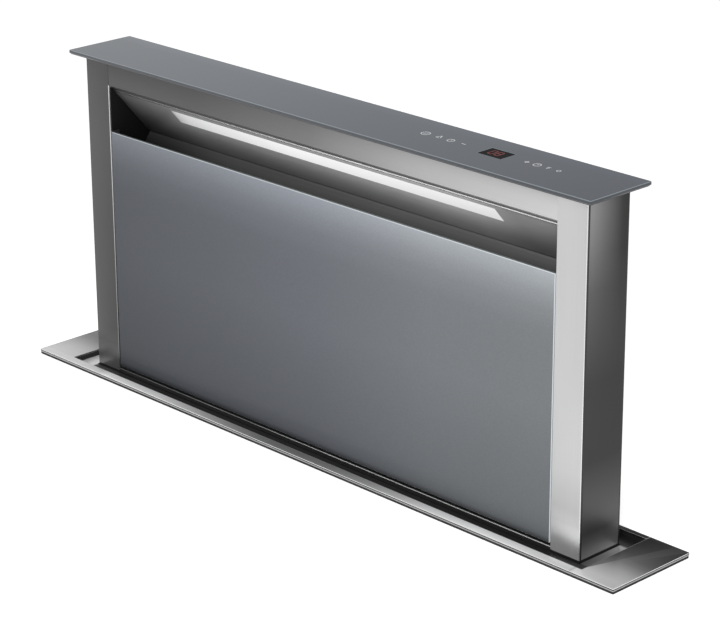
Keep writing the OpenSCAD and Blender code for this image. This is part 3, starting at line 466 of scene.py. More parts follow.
# Painted shade under the crossbar.
lip_shade = slot_sheet(
    "shade under the crossbar", [(0, 0.03), (0.5, 0.06), (1, 0.12)],
    [(0, 0.15), (0.25, 0.8), (0.5, 0.8), (0.7, 0.5), (0.8, 2.2), (1, 2.2)], LIP_HIGH, LIP_HIGH + 3.7 * MM)
# A painted highlight on the lip.
lip_highlight = brushed("edge of the ceiling's lip, painted highlight", "X", [
    (0, 0.12), (0.2, 0.40), (0.45, 0.85), (0.6, 1.0), (1, 1.0)], ALONG_FRONT, roughness=0.25)
print("slot edge", round((SLOT_EDGE - FLANGE_TOP) / MM, 1), "mm over the flange")

# %% [markdown]
# ## Deep-drawn and plain sheet
#
# The casing under the worktop is galvanised sheet: zinc that froze into large flat crystals, each a slightly
# different grey. Voronoi cells have just that look. Cast and plated metal have no grain, only a soft cloud
# in their tone, so one recipe with other numbers serves them all.

# %% Smooth and galvanised sheet


def smooth_metal(name, grey, roughness):
    steel = Finish(name, metallic=1.0)
    cloud = steel.noise(30.0, detail=4.0)
    steel.colour(steel.ramp(cloud, [(0.3, grey * 0.88), (0.7, grey * 1.06)]))
    return steel.rough(cloud, roughness - 0.04, roughness + 0.06).bump(cloud, 0.1 * MM, 0.15).material


def galvanised(name, grey):
    zinc = Finish(name, metallic=0.85)
    crystal = zinc.nodes.new("ShaderNodeRGBToBW")
    zinc.links.new(zinc.cells(120.0), crystal.inputs["Color"])
    flakes = crystal.outputs["Val"]
    dust = zinc.noise(9.0, detail=5.0)
    base = zinc.ramp(flakes, [(0.15, grey * 0.90), (0.85, grey * 1.06)])
    zinc.colour(zinc.times(base, zinc.ramp(dust, [(0.3, 0.92), (0.7, 1.05)])))
    return zinc.rough(flakes, 0.34, 0.52).bump(dust, 0.2 * MM, 0.1).material


plated_steel = smooth_metal("zinc plated steel", 0.50, 0.28)
cast_metal = smooth_metal("cast aluminium", 0.45, 0.46)
shaft_steel = smooth_metal("ground shaft steel", 0.62, 0.16)
filter_metal = smooth_metal("filter aluminium", 0.62, 0.3)
zinc_sheet = galvanised("galvanised sheet", 0.56)
zinc_box = galvanised("galvanised sheet, blower", 0.50)
print("materials so far", len(bpy.data.materials))

# %% [markdown]
# The recess tray is drawn from one sheet. Its floor is painted shade in front of the tower and behind it. To
# the right of the tower it carries painted reflection of the light side, more so to the back, and to the left
# it is painted lightest of all. Short spans, a millimetre or two long, work as switches between these parts.

# %% Floor of the recess
BEHIND_TOWER = ("Y", TOWER_FRONT + 57 * MM, TOWER_FRONT + 61 * MM)
BEFORE_TOWER = ("Y", TOWER_FRONT + 1 * MM, TOWER_FRONT - 1 * MM)
LEFT_OF_TOWER = ("X", -377 * MM, -379 * MM)


def recess_sheet():
    steel = Finish("drawn steel, recess", metallic=0.3, Specular_IOR_Level=0.05)
    cloud = steel.noise(30.0, detail=4.0)
    # Painted shade and painted reflection on the floor of the recess.
    shade = steel.ramp(steel.along("X", -380 * MM, 400 * MM), [
        (0, 0.06), (0.15, 0.03), (0.7, 0.03), (0.94, 0.02), (0.97, 0.03), (1, 0.08)])
    beside = steel.ramp(steel.along(*TOWER_DEEP), [(0, 0.13), (0.5, 0.20), (1, 0.38)])
    right = steel.mix(steel.along(*BEFORE_TOWER), beside, shade)
    right = steel.mix(steel.along(*BEHIND_TOWER), right, 0.02)
    tones = steel.mix(steel.along(*LEFT_OF_TOWER), right, 0.80)
    steel.colour(steel.times(tones, steel.ramp(cloud, [(0.3, 0.94), (0.7, 1.04)])))
    return steel.rough(cloud, 0.26, 0.34).bump(cloud, 0.1 * MM, 0.15).material


tray_steel = recess_sheet()
print("recess", tray_steel.name)

# %% [markdown]
# ## Glass, paint, plastic and rubber
#
# The cap and the front are float glass painted on the back, so they look opaque, with a clear gloss on
# top. A dielectric shader with a low roughness does that, and its own reflection grows at a flat angle,
# which is why the cap looks lighter than the front. A slow change of tone follows the picture and is painted
# light and shade: the cap darkens to the right and lightens to the back, and the front lightens to the right
# and to the top, with painted shade at its foot.

# %% Back painted glass


def painted_glass(name, stops, span, second=None, roughness=0.07, specular=0.4):
    """Gloss over a paint; second is another ramp and its span, painting shade and light over the first."""
    glass = Finish(name, roughness=roughness, Specular_IOR_Level=specular)
    base = glass.ramp(glass.along(*span), stops)
    if second:
        more_stops, other_span = second
        base = glass.times(base, glass.ramp(glass.along(*other_span), more_stops))
    speck = glass.noise(900.0, detail=1.0)
    glass.colour(glass.times(base, glass.ramp(speck, [(0.3, 0.95), (0.7, 1.04)])))
    haze = glass.noise(12.0)
    return glass.rough(haze, roughness - 0.02, roughness + 0.04).material


def blue_grey(level, blue=1.12):
    return (level * 0.94, level, level * blue)


# Painted light and shade along the cap and towards its back.
cap_paint = painted_glass(
    "painted glass, cap",
    [(0, (0.122, 0.137, 0.160)), (0.5, (0.068, 0.083, 0.106)), (1, (0.030, 0.040, 0.061))], ALONG_CAP,
    second=([(0, 1.0), (0.78, 1.0), (0.9, 1.16), (1, 1.22)], span_of("cap_glass", "Y")), specular=0.10)
# Painted light to the right and the top, painted shade at the foot.
front_paint = painted_glass(
    "painted glass, front",
    [(0, blue_grey(0.112)), (0.25, blue_grey(0.137)), (0.5, blue_grey(0.168)), (0.75, blue_grey(0.210, 1.07)),
     (1, blue_grey(0.220, 1.05))], ALONG_FRONT,
    second=([(0, 0.30), (0.008, 0.42), (0.022, 0.74), (0.04, 0.80), (0.25, 0.87), (0.5, 1.0), (0.7, 1.0),
             (0.78, 1.03), (0.86, 1.2), (0.92, 1.5), (0.96, 1.8), (1, 2.1)], span_of("front_glass", "Z")),
    roughness=0.12, specular=0.06)
print("painted panes", [cap_paint.name, front_paint.name])

# %% [markdown]
# A ground edge is matt and much lighter than the paint behind the glass, because the fine pits of the
# grinding scatter the light. The top edge of the front glass and the upright part of the cap's edge look
# dull in the picture, so these two get darker greys as painted shade. The chamfers of the front lighten
# to the right as a painted highlight.

# %% Ground edges of the glass
ground_edge = painted_glass("ground glass edge", [(0, (0.27, 0.30, 0.33)), (1, (0.24, 0.28, 0.31))],
                            ALONG_CAP, roughness=0.2)
# A painted highlight, growing to the right.
front_chamfer_highlight = painted_glass("ground chamfer of the front, painted highlight", [
    (0, (0.46, 0.50, 0.53)), (1, (0.72, 0.77, 0.80))], ALONG_FRONT, roughness=0.2)
# Painted shade of the slot on the top edge.
front_rim_shade = painted_glass("top edge of the front glass", [
    (0, blue_grey(0.12, 1.0)), (1, blue_grey(0.21, 1.0))], ALONG_FRONT, roughness=0.3, specular=0.02)
# Painted shade on the upright band of the cap's edge.
band_edge_shade = painted_glass("edge of the cap glass, painted shade", [(0, blue_grey(0.085)), (1, blue_grey(0.065))],
                          ALONG_CAP, roughness=0.12)
window_glass = painted_glass("display window", [(0, (0.010, 0.010, 0.010)), (1, (0.012, 0.011, 0.011))],
                             span_of("display_window", "X"), roughness=0.15, specular=0.004)
cheek_black = painted_glass("black enamel of the cheeks", [(0, 0.012), (1, 0.018)], ALONG_FRONT,
                            roughness=0.45, specular=0.08)
print("materials so far", len(bpy.data.materials))

# %% [markdown]
# Moulded plastic has a fine spark-eroded texture, rubber a duller one, and painted cast housings a coarse
# one. One recipe with different numbers serves all of them. The texture is a bump, since it is far too fine
# to be cut into the mesh.

# %% Plastics, rubber and paint


def moulded(name, colour, roughness, texture, depth, spread=0.1):
    """A cast or moulded surface; texture is how fine its bumps are, and depth how high, in metres."""
    plastic = Finish(name)
    bumps = plastic.noise(texture, detail=2.0)
    wear = plastic.noise(14.0, detail=4.0)
    darker = tuple(c * (1 - spread) for c in colour)
    lighter = tuple(c * (1 + spread) for c in colour)
    plastic.colour(plastic.ramp(wear, [(0.3, darker), (0.7, lighter)]))
    return plastic.rough(wear, roughness - 0.06, roughness + 0.08).bump(bumps, depth, 0.3).material


black_plastic = moulded("black moulded plastic", (0.020, 0.020, 0.022), 0.45, 1600, 0.12 * MM)
lid_plastic = moulded("black moulded lid", (0.026, 0.026, 0.029), 0.40, 1600, 0.12 * MM)
black_rubber = moulded("black rubber", (0.013, 0.013, 0.013), 0.72, 900, 0.2 * MM)
foam_rubber = moulded("black foam", (0.016, 0.016, 0.017), 0.85, 700, 0.4 * MM)
belt_rubber = moulded("toothed belt rubber", (0.018, 0.018, 0.018), 0.6, 1200, 0.2 * MM)
motor_paint = moulded("black motor paint", (0.022, 0.022, 0.025), 0.38, 500, 0.2 * MM)
white_plastic = moulded("white slide plastic", (0.78, 0.78, 0.75), 0.42, 1200, 0.1 * MM, 0.03)
# Black that is painted shadow, for seams, gaps and ledges in shade.
shadow_black = moulded("black painted shadow", (0.010, 0.010, 0.010), 0.5, 900, 0.1 * MM)
board_green = moulded("circuit board", (0.02, 0.10, 0.045), 0.35, 400, 0.1 * MM)
print_ink = moulded("pale print", (0.60, 0.61, 0.63), 0.5, 900, 0.02 * MM, 0.03)
print("materials so far", len(bpy.data.materials))

# %% [markdown]
# The light strip is a frosted cover over a row of diodes. It glows evenly, a little less at its ends. The
# digits glow red. Both are emission on an ordinary shader, so they still catch the light of the room.

# %% Things that glow


def glowing(name, stops, span, strength, body):
    """A glow whose colour runs over a span, over a dull body colour."""
    lamp = Finish(name, roughness=0.5)
    soft = lamp.noise(60.0, detail=2.0)
    lamp.colour(lamp.ramp(soft, [(0.3, tuple(c * 0.95 for c in body)), (0.7, body)]))
    lamp.join(lamp.ramp(lamp.along(*span), stops), lamp.shader.inputs["Emission Color"])
    lamp.shader.inputs["Emission Strength"].default_value = strength
    return lamp.material


diffuser_glow = glowing("frosted light cover", [
    (0, 0.28), (0.012, 0.50), (0.04, 0.66), (0.12, 0.80), (0.4, 1.0), (0.8, 0.90), (1, 0.82)],
    span_of("led_diffuser", "X"), 0.72, (0.28, 0.28, 0.28))
digit_glow = glowing("red display segments", [(0, (1.0, 0.05, 0.035)), (1, (0.9, 0.04, 0.03))],
                     span_of("display_window", "X"), 0.16, (0.10, 0.01, 0.01))
print("finishes", len(bpy.data.materials))

# %% [markdown]
# ## Tools for pieces
#
# A cut or folded sheet never has a razor edge. A copy of the solid gets small bevels on its sharp edges and
# stands in for the solid. The bevel catches the light as a thin bright line, which is most of what makes
# sheet metal look real. Every finished piece is made through one helper, so that none is left without a
# finish and a body to ride on.

# %% Make a finished piece from a bmesh
BODY_OF = {node: body for body, nodes in frame["record"]["behaviour"]["bodies"].items() for node in nodes}
SHARP = math.radians(30)


def piece(name, bm, finishes, node, replaces=True):
    """Turns a bmesh into an object that rides with the node's body and, if wanted, replaces the node."""
    bmesh.ops.recalc_face_normals(bm, faces=bm.faces)
    for face in bm.faces:
        face.smooth = True
    for edge in bm.edges:
        edge.smooth = edge.calc_face_angle(0.0) < SHARP
    mesh = bpy.data.meshes.new(name)
    bm.to_mesh(mesh)
    bm.free()
    obj = bpy.data.objects.new(name, mesh)
    bpy.context.scene.collection.objects.link(obj)
    for material in finishes if isinstance(finishes, (list, tuple)) else [finishes]:
        mesh.materials.append(material)
    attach(obj, BODY_OF[node])
    if replaces:
        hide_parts(node)
    return obj


# %% [markdown]
# A solid arrives as loose triangles. Its doubles are merged, and triangles that lie in one plane are
# dissolved into one face, because a bevel needs clean edges to work on. Faces of different kinds, such as
# the front and the side of a fold, can get finishes of their own: a paint function looks at a face and
# names the finish by its number in the piece's list. Nearly all faces look along an axis, and only the
# bevels lean, so two limits on the normal are enough to tell them apart.

# %% Copy a solid into clean faces and soften its edges
FACING, LEANING = 0.92, 0.3


def clean_copy(node):
    bm = bmesh.new()
    bm.from_mesh(frame["nodes"][node].data)
    bmesh.ops.remove_doubles(bm, verts=bm.verts, dist=0.001 * MM)
    bmesh.ops.dissolve_limit(bm, angle_limit=math.radians(0.5), verts=bm.verts, edges=bm.edges,
                             delimit={"NORMAL"})
    return bm


def soften(bm, width, segments=2):
    """Bevels every edge that is sharper than SHARP; the width is in metres."""
    sharp = [e for e in bm.edges if len(e.link_faces) == 2 and e.calc_face_angle(0.0) > SHARP]
    bmesh.ops.bevel(bm, geom=sharp, offset=width, offset_type="OFFSET", affect="EDGES", segments=segments,
                    profile=0.5, material=-1, clamp_overlap=True)


def paint_faces(bm, paint):
    bm.normal_update()
    for face in bm.faces:
        face.material_index = paint(face)


def open_edges(bm):
    return sum(1 for e in bm.edges if len(e.link_faces) != 2)


def softened(node, finish, width=0.35, paint=None):
    """A copy of a node with soft edges, their width in millimetres; paint(face) names a finish."""
    bm = clean_copy(node)
    soften(bm, width * MM)
    if paint:
        paint_faces(bm, paint)
    bad = open_edges(bm)
    volume = bm.calc_volume()
    if bad or volume <= 0:
        print("look at", node, "open edges", bad, "volume", volume)
    return piece(node + "_soft", bm, finish, node)


def dress(finish, *nodes):
    """Gives solids that keep their own shape a finish."""
    for node in nodes:
        data = frame["nodes"][node].data
        data.materials.clear()
        data.materials.append(finish)


print("edges sharper than", round(math.degrees(SHARP)), "degrees get a bevel")

# %% [markdown]
# ## The tower
#
# Each upright is a box folded from sheet. Its front is brushed. The side is one plain sheet with a narrow
# strip of painted shadow behind its front corner, where the fold of the front skin ends. The mesh is cut
# along both edges of that strip first, so that it can take a black finish. A black line at the level of the
# tray's floor is painted shadow for the gap round the tower's foot, the side behind the back seam is painted
# black as shade, and the fold gets a painted highlight.

# %% Folded uprights
# Where the strip of painted shadow lies behind the upright's front corner.
SEAM_SHADOW = (0.7 * MM, 3.0 * MM)
FOOT_LINE = (FLANGE_TOP - 9.5 * MM, FLANGE_TOP - 6.0 * MM)
BACK_SEAM = 58.0 * MM
BRIGHT_EDGE = 0.9 * MM
SKIN = 2 * MM
FRONT, SIDE, BLACK, BRIGHT, BACK = range(5)


def cut_at(bm, axis, *places):
    """Cuts all faces along planes across an axis, without parting the mesh."""
    normal = Vector([1.0 if a == axis else 0.0 for a in "XYZ"])
    for place in places:
        bmesh.ops.bisect_plane(bm, geom=bm.verts[:] + bm.edges[:] + bm.faces[:],
                               plane_co=normal * place, plane_no=normal)


def upright(node, outward, front_steel, bright_at, bright_steel, bright_top):
    """A folded upright; its fold's painted highlight lies at bright_at in x and ends at level bright_top."""
    bm = clean_copy(node)
    outer = outward * max(outward * v.co.x for v in bm.verts)
    soften(bm, 0.4 * MM)
    cut_at(bm, "Y", TOWER_FRONT + SEAM_SHADOW[0], TOWER_FRONT + SEAM_SHADOW[1], TOWER_FRONT + BACK_SEAM)
    cut_at(bm, "X", bright_at - BRIGHT_EDGE, bright_at + BRIGHT_EDGE)
    cut_at(bm, "Z", *FOOT_LINE, bright_top)

    def paint(face):
        normal, middle = face.normal, face.calc_center_median()
        deep = middle.y - TOWER_FRONT
        if normal.x * outward > LEANING and deep > BACK_SEAM or FOOT_LINE[0] < middle.z < FOOT_LINE[1]:
            return BLACK
        if normal.x * outward > FACING and abs(middle.x - outer) < MM:
            return BLACK if SEAM_SHADOW[0] < deep < SEAM_SHADOW[1] else SIDE
        if deep < SKIN and abs(normal.z) < LEANING:
            on_fold = abs(middle.x - bright_at) < BRIGHT_EDGE and middle.z < bright_top
            return BRIGHT if on_fold else FRONT
        return BACK if normal.y > FACING else SIDE

    paint_faces(bm, paint)
    print(node, "open edges", open_edges(bm), "faces", len(bm.faces))
    return piece(node + "_folded", bm, [front_steel, side_steel, shadow_black, bright_steel, back_steel], node)


slot_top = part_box("top_crossbar")[0].z
upright("left_upright", -1, upright_left_steel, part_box("left_upright")[1].x, fold_highlight, slot_top)
upright("right_upright", 1, upright_right_steel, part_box("right_upright")[1].x, cut_edge_highlight, TOWER_TOP)

# %% [markdown]
# The crossbar, the back and the sill are plain folded sheets. Only some of their edges need a finish of
# their own: the crossbar's lower front edge has a painted highlight, the ends of the back are painted black
# as the shadow of the gap beside the uprights, and the sill has a painted highlight on its front edge and
# painted shade on the ledge behind it.

# %% Crossbar, back and sill


def crossbar_paint(face):
    return 1 if face.normal.z < -LEANING and face.normal.y < -LEANING else 0


def back_paint(face):
    return 1 if abs(face.normal.x) > LEANING else 0


def sill_paint(face):
    if face.normal.z > LEANING:
        return 1 if face.normal.y < -LEANING else 2
    return 0


softened("top_crossbar", [crossbar_steel, crossbar_edge_highlight], 0.4, crossbar_paint)
softened("back_panel", [back_steel, shadow_black], 0.35, back_paint)
softened("lower_front_panel", [sill_steel, sill_edge_highlight, shadow_black], 1.0, sill_paint)
softened("bottom_frame", back_steel, 0.35)
print("nodes that ride on the tower", sum(1 for body in BODY_OF.values() if body == "tower"))

# %% [markdown]
# ## The flange and its recess
#
# The face plate is stamped from thick sheet. Its rounded upper edge is cut and has a painted highlight as a
# bright line, and below it come the cut face in painted shade, the lighter rim of the tray and the black
# foam.
# The tray's floor, its walls and the outer edge of its rim are told apart by how a face looks and by where
# it is.

# %% Flange, tray and seals
OPENING = (-30 * MM, 81 * MM)
OPENING_HALF = 440 * MM


def flange_paint(face):
    if face.normal.z > FACING:
        return 0
    return 1 if face.normal.z > LEANING else 2


def tray_paint(face):
    """The floor, the walls of the recess, and the rim's outer edge."""
    middle = face.calc_center_median()
    if abs(face.normal.z) > FACING:
        return 0
    beside = abs(middle.x) > OPENING_HALF
    return 2 if beside or not OPENING[0] < middle.y - TOWER_FRONT < OPENING[1] else 1


softened("flange_plate", [flange_steel, cut_edge_highlight, rim_shade], 0.7, flange_paint)
softened("recess_tray", [tray_steel, recess_wall_shade, tray_rim], 0.35, tray_paint)
dress(foam_rubber, "flange_gasket")
dress(black_rubber, "wiper_seal")

# %% [markdown]
# ## The glass cap
#
# The cap is a plate of toughened glass, painted on the back and bonded to a steel plate. Its edge is ground
# to a small chamfer above and below, and these two lines are the brightest thing on it. The touch symbols
# are a thin print, so the glass is set a hair lower to leave them room.

# %% Cap glass with ground chamfers
PRINT = 0.05 * MM
CAP_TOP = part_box("cap_glass")[1].z - PRINT


def glass_plate(node, finishes, chamfer, paint, lower=0.0):
    """A glass plate with ground chamfers; lower sinks its top to leave room for a print."""
    bm = clean_copy(node)
    top = max(v.co.z for v in bm.verts)
    for vert in bm.verts:
        if vert.co.z > top - PRINT:
            vert.co.z -= lower
    soften(bm, chamfer, segments=1)
    paint_faces(bm, paint)
    print(node, "open edges", open_edges(bm), "faces", len(bm.faces))
    return piece(node + "_ground", bm, finishes, node)


def cap_faces(face):
    if abs(face.normal.z) > FACING:
        return 0
    return 1 if abs(face.normal.z) > LEANING else 2


glass_plate("cap_glass", [cap_paint, ground_edge, band_edge_shade], 0.6 * MM, cap_faces, PRINT)
softened("cap_carrier", carrier_shade, 0.25)
glass_plate("display_window", [window_glass], 0.3 * MM, lambda face: 0, PRINT)

# %% [markdown]
# ## Digits and symbols
#
# A print is a very thin solid that lies on the glass. Each mark is built from bars and rings. A bar is a
# cube, stretched and turned. A ring is made of two circles that are bridged to a flat band before it gets
# its thickness, which leaves it closed on every side.

# %% Bars and rings of print
SYMBOL_Y = 36.0
RING_SIDES = 40


def bar(bm, x, y, length, width, turn=0.0, point=0.0):
    """A flat bar of print on the cap, in millimetres, turned in degrees; point is the cut at its corners."""
    made = bmesh.ops.create_cube(bm, size=1.0)["verts"]
    bmesh.ops.scale(bm, vec=Vector((length, width, PRINT / MM)) * MM, verts=made)
    if point:
        corners = {e for v in made for e in v.link_edges
                   if abs(e.verts[0].co.z - e.verts[1].co.z) > PRINT / 2}
        cut = bmesh.ops.bevel(bm, geom=list(corners), offset=point * width * MM, offset_type="OFFSET",
                              affect="EDGES", segments=1, profile=0.5, material=-1)["verts"]
        made = cut + [v for v in made if v.is_valid]
    made = list({v for v in made if v.is_valid})
    bmesh.ops.rotate(bm, cent=(0, 0, 0), matrix=Matrix.Rotation(math.radians(turn), 3, "Z"), verts=made)
    place = at(x, y, 0)
    bmesh.ops.translate(bm, vec=(place.x, place.y, CAP_TOP + PRINT / 2), verts=made)


def thicken(bm, faces, depth):
    """Gives flat faces a thickness by extruding them along z."""
    grown = bmesh.ops.extrude_face_region(bm, geom=faces)["geom"]
    bmesh.ops.translate(bm, vec=(0, 0, depth), verts=[g for g in grown if isinstance(g, bmesh.types.BMVert)])


def ring(bm, x, y, radius, width):
    """A flat ring of print: two circles, bridged, then thickened."""
    before = set(bm.verts)
    loops = []
    for r in (radius, radius - width):
        circle = bmesh.ops.create_circle(bm, cap_ends=False, segments=RING_SIDES, radius=r * MM)["verts"]
        loops += list({e for v in circle for e in v.link_edges})
    thicken(bm, bmesh.ops.bridge_loops(bm, edges=loops)["faces"], PRINT)
    place = at(x, y, 0)
    bmesh.ops.translate(bm, vec=(place.x, place.y, CAP_TOP), verts=[v for v in bm.verts if v not in before])


print("print", round(PRINT / MM, 2), "mm thick")

# %% [markdown]
# Two groups of small symbols lie left and right of the display. They are plain signs: a slashed ring, an
# arrow over a bar, a ring with a stroke for on and off, minus and plus, another ring with a stroke, three
# steps and a dot. Each name below is a symbol's place in x, and its strokes are set around that place.

# %% The symbols left and right of the display
STROKE_W = 1.15
SLASHED, ARROW, POWER, MINUS = 127.6, 146.3, 163.0, 180.6
PLUS, STROKED, STEPS, DOT = 266.3, 279.8, 294.2, 307.9

symbols = bmesh.new()
ring(symbols, SLASHED, SYMBOL_Y, 5.4, STROKE_W)
bar(symbols, SLASHED, SYMBOL_Y, 6.4, 1.3, 52)
bar(symbols, ARROW - 2.1, SYMBOL_Y + 0.8, 5.2, STROKE_W, 60)
bar(symbols, ARROW + 2.1, SYMBOL_Y + 0.8, 5.2, STROKE_W, -60)
bar(symbols, ARROW, SYMBOL_Y - 2.2, 4.2, STROKE_W)
bar(symbols, ARROW, SYMBOL_Y + 3.9, 2.0, 2.0, 45)
ring(symbols, POWER, SYMBOL_Y, 4.4, STROKE_W)
bar(symbols, POWER, SYMBOL_Y + 1.2, STROKE_W, 2.4)
bar(symbols, MINUS, SYMBOL_Y, 5.6, 1.3)
bar(symbols, PLUS, SYMBOL_Y, 6.0, 1.3)
bar(symbols, PLUS, SYMBOL_Y + 1.85, 1.3, 2.4)
bar(symbols, PLUS, SYMBOL_Y - 1.85, 1.3, 2.4)
ring(symbols, STROKED, SYMBOL_Y, 4.6, STROKE_W)
bar(symbols, STROKED, SYMBOL_Y + 1.1, STROKE_W, 2.4)
for step, length in ((-2.1, 1.8), (0.0, 3.2), (2.1, 4.6)):
    bar(symbols, STEPS, SYMBOL_Y + step, length, STROKE_W)
ring(symbols, DOT, SYMBOL_Y, 2.6, 1.0)
print("symbols, open edges", open_edges(symbols))
piece("touch_symbols", symbols, print_ink, "cap_glass", replaces=False)

# %% [markdown]
# The display shows two red digits of seven segments each, and a segment is a bar with pointed ends. The
# segments are named a to g in the usual way: a on top, then clockwise, and g in the middle. A segment is
# given by its place in shares of the digit's size and by its turn.

# %% The two digits
SEGMENTS = {"a": (0, 1, 0), "b": (0.5, 0.5, 90), "c": (0.5, -0.5, 90), "d": (0, -1, 0),
            "e": (-0.5, -0.5, 90), "f": (-0.5, 0.5, 90), "g": (0, 0, 0)}
DIGIT_W, DIGIT_H, STROKE, GAP = 5.4, 11.0, 0.8, 0.3
POINT_SHARE = 0.48


def digit(bm, x, lit):
    for name in lit:
        across, up, turn = SEGMENTS[name]
        length = (DIGIT_H / 2 if turn else DIGIT_W) - GAP
        bar(bm, x + across * DIGIT_W, SYMBOL_Y + up * DIGIT_H / 2, length, STROKE, turn, POINT_SHARE)


digits = bmesh.new()
digit(digits, 220.6, "abcdef")
digit(digits, 229.2, "abcdefg")
print("digits, open edges", open_edges(digits))
piece("display_digits", digits, digit_glow, "display_window", replaces=False)

# %% [markdown]
# ## The front glass and the slot
#
# The front glass stands in a shallow steel tray. Its ground chamfers show as bright lines, with a painted
# highlight that grows to the right, and its top edge is painted dull as the shade of the slot.

# %% Front glass


def front_faces(face):
    if abs(face.normal.y) > FACING:
        return 0
    return 2 if face.normal.z > FACING else 1


glass_plate("front_glass", [front_paint, front_chamfer_highlight, front_rim_shade], 0.7 * MM, front_faces)
softened("glass_carrier", plated_steel, 0.3)

# %% [markdown]
# Behind the slot a slanted sheet carries the light strip and turns the air down to the filters. Its upper
# end is folded to a lip behind the crossbar. The sheet is cut at the lip's two levels, so that the lip's
# painted highlight and the painted shade above it can take finishes of their own. Black end cheeks close
# the slot at the sides.

# %% Light and slot
CEILING, SHADE, LIP = range(3)


def ceiling_paint(face):
    level = face.calc_center_median().z
    if level < LIP_LOW:
        return CEILING
    return LIP if level < LIP_HIGH and face.normal.z > LEANING else SHADE


def ceiling(node):
    bm = clean_copy(node)
    soften(bm, 0.2 * MM)
    cut_at(bm, "Z", LIP_LOW, LIP_HIGH)
    paint_faces(bm, ceiling_paint)
    print(node, "open edges", open_edges(bm), "faces", len(bm.faces))
    return piece(node + "_folded", bm, [ceiling_steel, lip_shade, lip_highlight], node)


ceiling("intake_ceiling")
softened("led_diffuser", diffuser_glow, 0.3)
softened("throat_plate", throat_steel, 0.25)
softened("intake_cheeks", cheek_black, 0.25)
dress(board_green, "led_board", "touch_board")

# %% [markdown]
# The filters hang in a frame inside the tower, over a trough that catches the grease. They are light,
# washable aluminium. The tower slides in plastic shoes, which are white as such plastic usually is.

# %% Filters and guides in the tower
for node in ("filter_frame", "drip_channel"):
    softened(node, plated_steel, 0.3)
for side in ("left", "centre", "right"):
    softened("grease_filter_" + side, filter_metal, 0.25)
softened("lift_brackets", plated_steel, 0.4)
softened("glide_shoes", white_plastic, 0.6)
dress(shaft_steel, "hinge_pins", "idler_axles", "drive_shaft", "damper_pin")

# %% [markdown]
# ## Under the worktop
#
# Nobody sees these parts once the vent is fitted, so they are plain: galvanised sheet, zinc plated screws,
# cast aluminium, black plastic. They still get their folded edges, since the vent is also looked at before
# it goes into the cabinet.

# %% Casing, lift and blower
for node in ("housing_front", "housing_back", "housing_shell", "guide_rails", "outlet_adapter"):
    softened(node, zinc_sheet, 0.3)
for node in ("blower_box", "blower_cover", "scroll_casing"):
    softened(node, zinc_box, 0.3)
softened("worktop_clamps", plated_steel, 0.4)
softened("shaft_bearings", cast_metal, 0.5)
softened("lift_gearbox", cast_metal, 0.8)
softened("control_box", black_plastic, 0.5)
softened("control_lid", lid_plastic, 0.5)
dress(zinc_sheet, "outlet_spigot", "inlet_ring")
dress(plated_steel, "clamp_screws", "cover_screws", "damper_flap_front", "damper_flap_rear")
dress(black_rubber, "levelling_feet")
dress(belt_rubber, "lift_belts")
dress(cast_metal, "drive_pulleys", "idler_left", "idler_right")
dress(motor_paint, "lift_motor", "blower_motor")
dress(black_plastic, "impeller", "cable_gland")

# %% [markdown]
# ## Worktop, floor and light
#
# The picture stands on pure white with hardly a shadow. A slab at the height of a worktop carries the
# flange and hides what hangs below it, and a floor lies under the feet. Both are white and glow a little
# towards the camera, so the light on them reaches white while the shadow round the flange stays. The slab's
# edge is a soft grey, so that it reads as a worktop from the sides.

# %% The white of the stage


def seen_straight(nodes, links):
    """1 for rays that show a thing to the eye, in a mirror or through glass, and 0 for the light it casts."""
    path = nodes.new("ShaderNodeLightPath")
    seen = path.outputs["Is Camera Ray"]
    for kind in ("Is Glossy Ray", "Is Transmission Ray"):
        either = nodes.new("ShaderNodeMath")
        either.operation = "MAXIMUM"
        links.new(seen, either.inputs[0])
        links.new(path.outputs[kind], either.inputs[1])
        seen = either.outputs["Value"]
    return seen


def stage_white(name, glow):
    white = Finish(name, roughness=0.9)
    white.colour(white.ramp(white.noise(3.0), [(0.3, 0.86), (0.7, 0.88)]))
    seen = seen_straight(white.nodes, white.links)
    white.shader.inputs["Emission Color"].default_value = (1, 1, 1, 1)
    white.join(white.sum(seen, glow, "MULTIPLY"), white.shader.inputs["Emission Strength"])
    return white.material


def stage_piece(name, bm, *materials):
    bmesh.ops.recalc_face_normals(bm, faces=bm.faces)
    mesh = bpy.data.meshes.new(name)
    bm.to_mesh(mesh)
    bm.free()
    obj = bpy.data.objects.new(name, mesh)
    bpy.context.scene.collection.objects.link(obj)
    for material in materials:
        mesh.materials.append(material)
    print(name, "faces", len(mesh.polygons))
    return obj


# %% [markdown]
# The slab starts as a single flat face. It is cut along the four sides of the opening, the face in the
# middle is deleted, and what is left is extruded down to the thickness of a worktop.

# %% Worktop and floor
SLAB = ((-640, -540), (640, 160))
CUT_OUT = ((-412, -27), (412, 80.5))
SLAB_TOP, SLAB_T = -6.0, 38.0
FLOOR_REACH = 14.0

slab = bmesh.new()
bmesh.ops.create_grid(slab, x_segments=1, y_segments=1, size=0.5)
near, far = (at(x, y, SLAB_TOP) for x, y in SLAB)
bmesh.ops.scale(slab, vec=(far.x - near.x, far.y - near.y, 1), verts=slab.verts)
bmesh.ops.translate(slab, vec=(near + far) / 2, verts=slab.verts)
hole_near, hole_far = (at(x, y, SLAB_TOP) for x, y in CUT_OUT)
for hole_corner in (hole_near, hole_far):
    cut_at(slab, "X", hole_corner.x)
    cut_at(slab, "Y", hole_corner.y)


def in_the_hole(face):
    middle = face.calc_center_median()
    return hole_near.x < middle.x < hole_far.x and hole_near.y < middle.y < hole_far.y


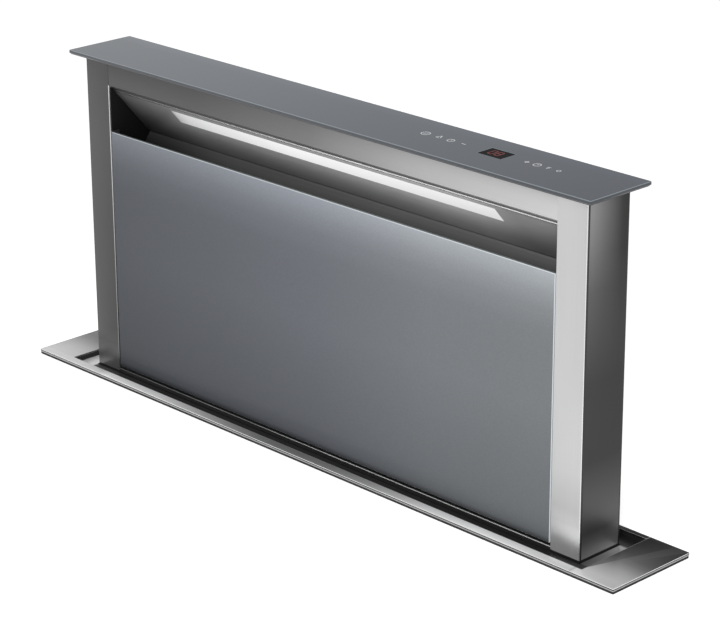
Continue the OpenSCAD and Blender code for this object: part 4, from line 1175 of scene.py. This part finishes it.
bmesh.ops.delete(slab, geom=[f for f in slab.faces if in_the_hole(f)], context="FACES")
thicken(slab, slab.faces[:], -SLAB_T * MM)
paint_faces(slab, lambda face: 0 if abs(face.normal.z) > FACING else 1)
worktop_edge = Finish("edge of the worktop", roughness=0.8)
worktop_edge.colour(worktop_edge.ramp(worktop_edge.noise(40.0), [(0.3, 0.66), (0.7, 0.70)]))
stage_piece("worktop", slab, stage_white("white worktop", 0.52), worktop_edge.material)

floor = bmesh.new()
bmesh.ops.create_grid(floor, x_segments=1, y_segments=1, size=FLOOR_REACH)
stage_piece("floor", floor, stage_white("white floor", 0.46))

# %% [markdown]
# The world is white to the camera and in mirrors, and a soft grey as light. One large lamp stands high on the
# right, in front, and a weak one fills from the left. That keeps the front plain and the shadows soft.

# %% World and lamps
WORLD_LIGHT = 0.60
LAMP_AIM = (0, 0.1, 0.8)
LAMP_SIZE = 2.0

world = bpy.data.worlds.new("studio")
bpy.context.scene.world = world
world.use_nodes = True
sky = world.node_tree
background = sky.nodes["Background"]
level = sky.nodes.new("ShaderNodeMapRange")
level.inputs["To Min"].default_value = WORLD_LIGHT
level.inputs["To Max"].default_value = 1.0
sky.links.new(seen_straight(sky.nodes, sky.links), level.inputs["Value"])
sky.links.new(level.outputs["Result"], background.inputs["Strength"])
background.inputs["Color"].default_value = (1, 1, 1, 1)


def soft_lamp(name, place, power):
    """A round lamp that looks at the tower; the power is in watts."""
    data = bpy.data.lights.new(name, "AREA")
    data.shape = "DISK"
    data.size = LAMP_SIZE
    data.energy = power
    lamp = bpy.data.objects.new(name, data)
    bpy.context.scene.collection.objects.link(lamp)
    turn = (Vector(place) - Vector(LAMP_AIM)).to_track_quat("Z", "Y").to_matrix().to_4x4()
    lamp.matrix_world = Matrix.Translation(place) @ turn


soft_lamp("key", (1.9, -2.6, 2.9), 60)
soft_lamp("fill", (-2.6, -1.8, 1.9), 12)
print("lamps", len(bpy.data.lights))

# %% [markdown]
# A plain view transform shows each colour about as it was written.

# %% The view transform, and the end
bpy.context.scene.view_settings.view_transform = "Standard"
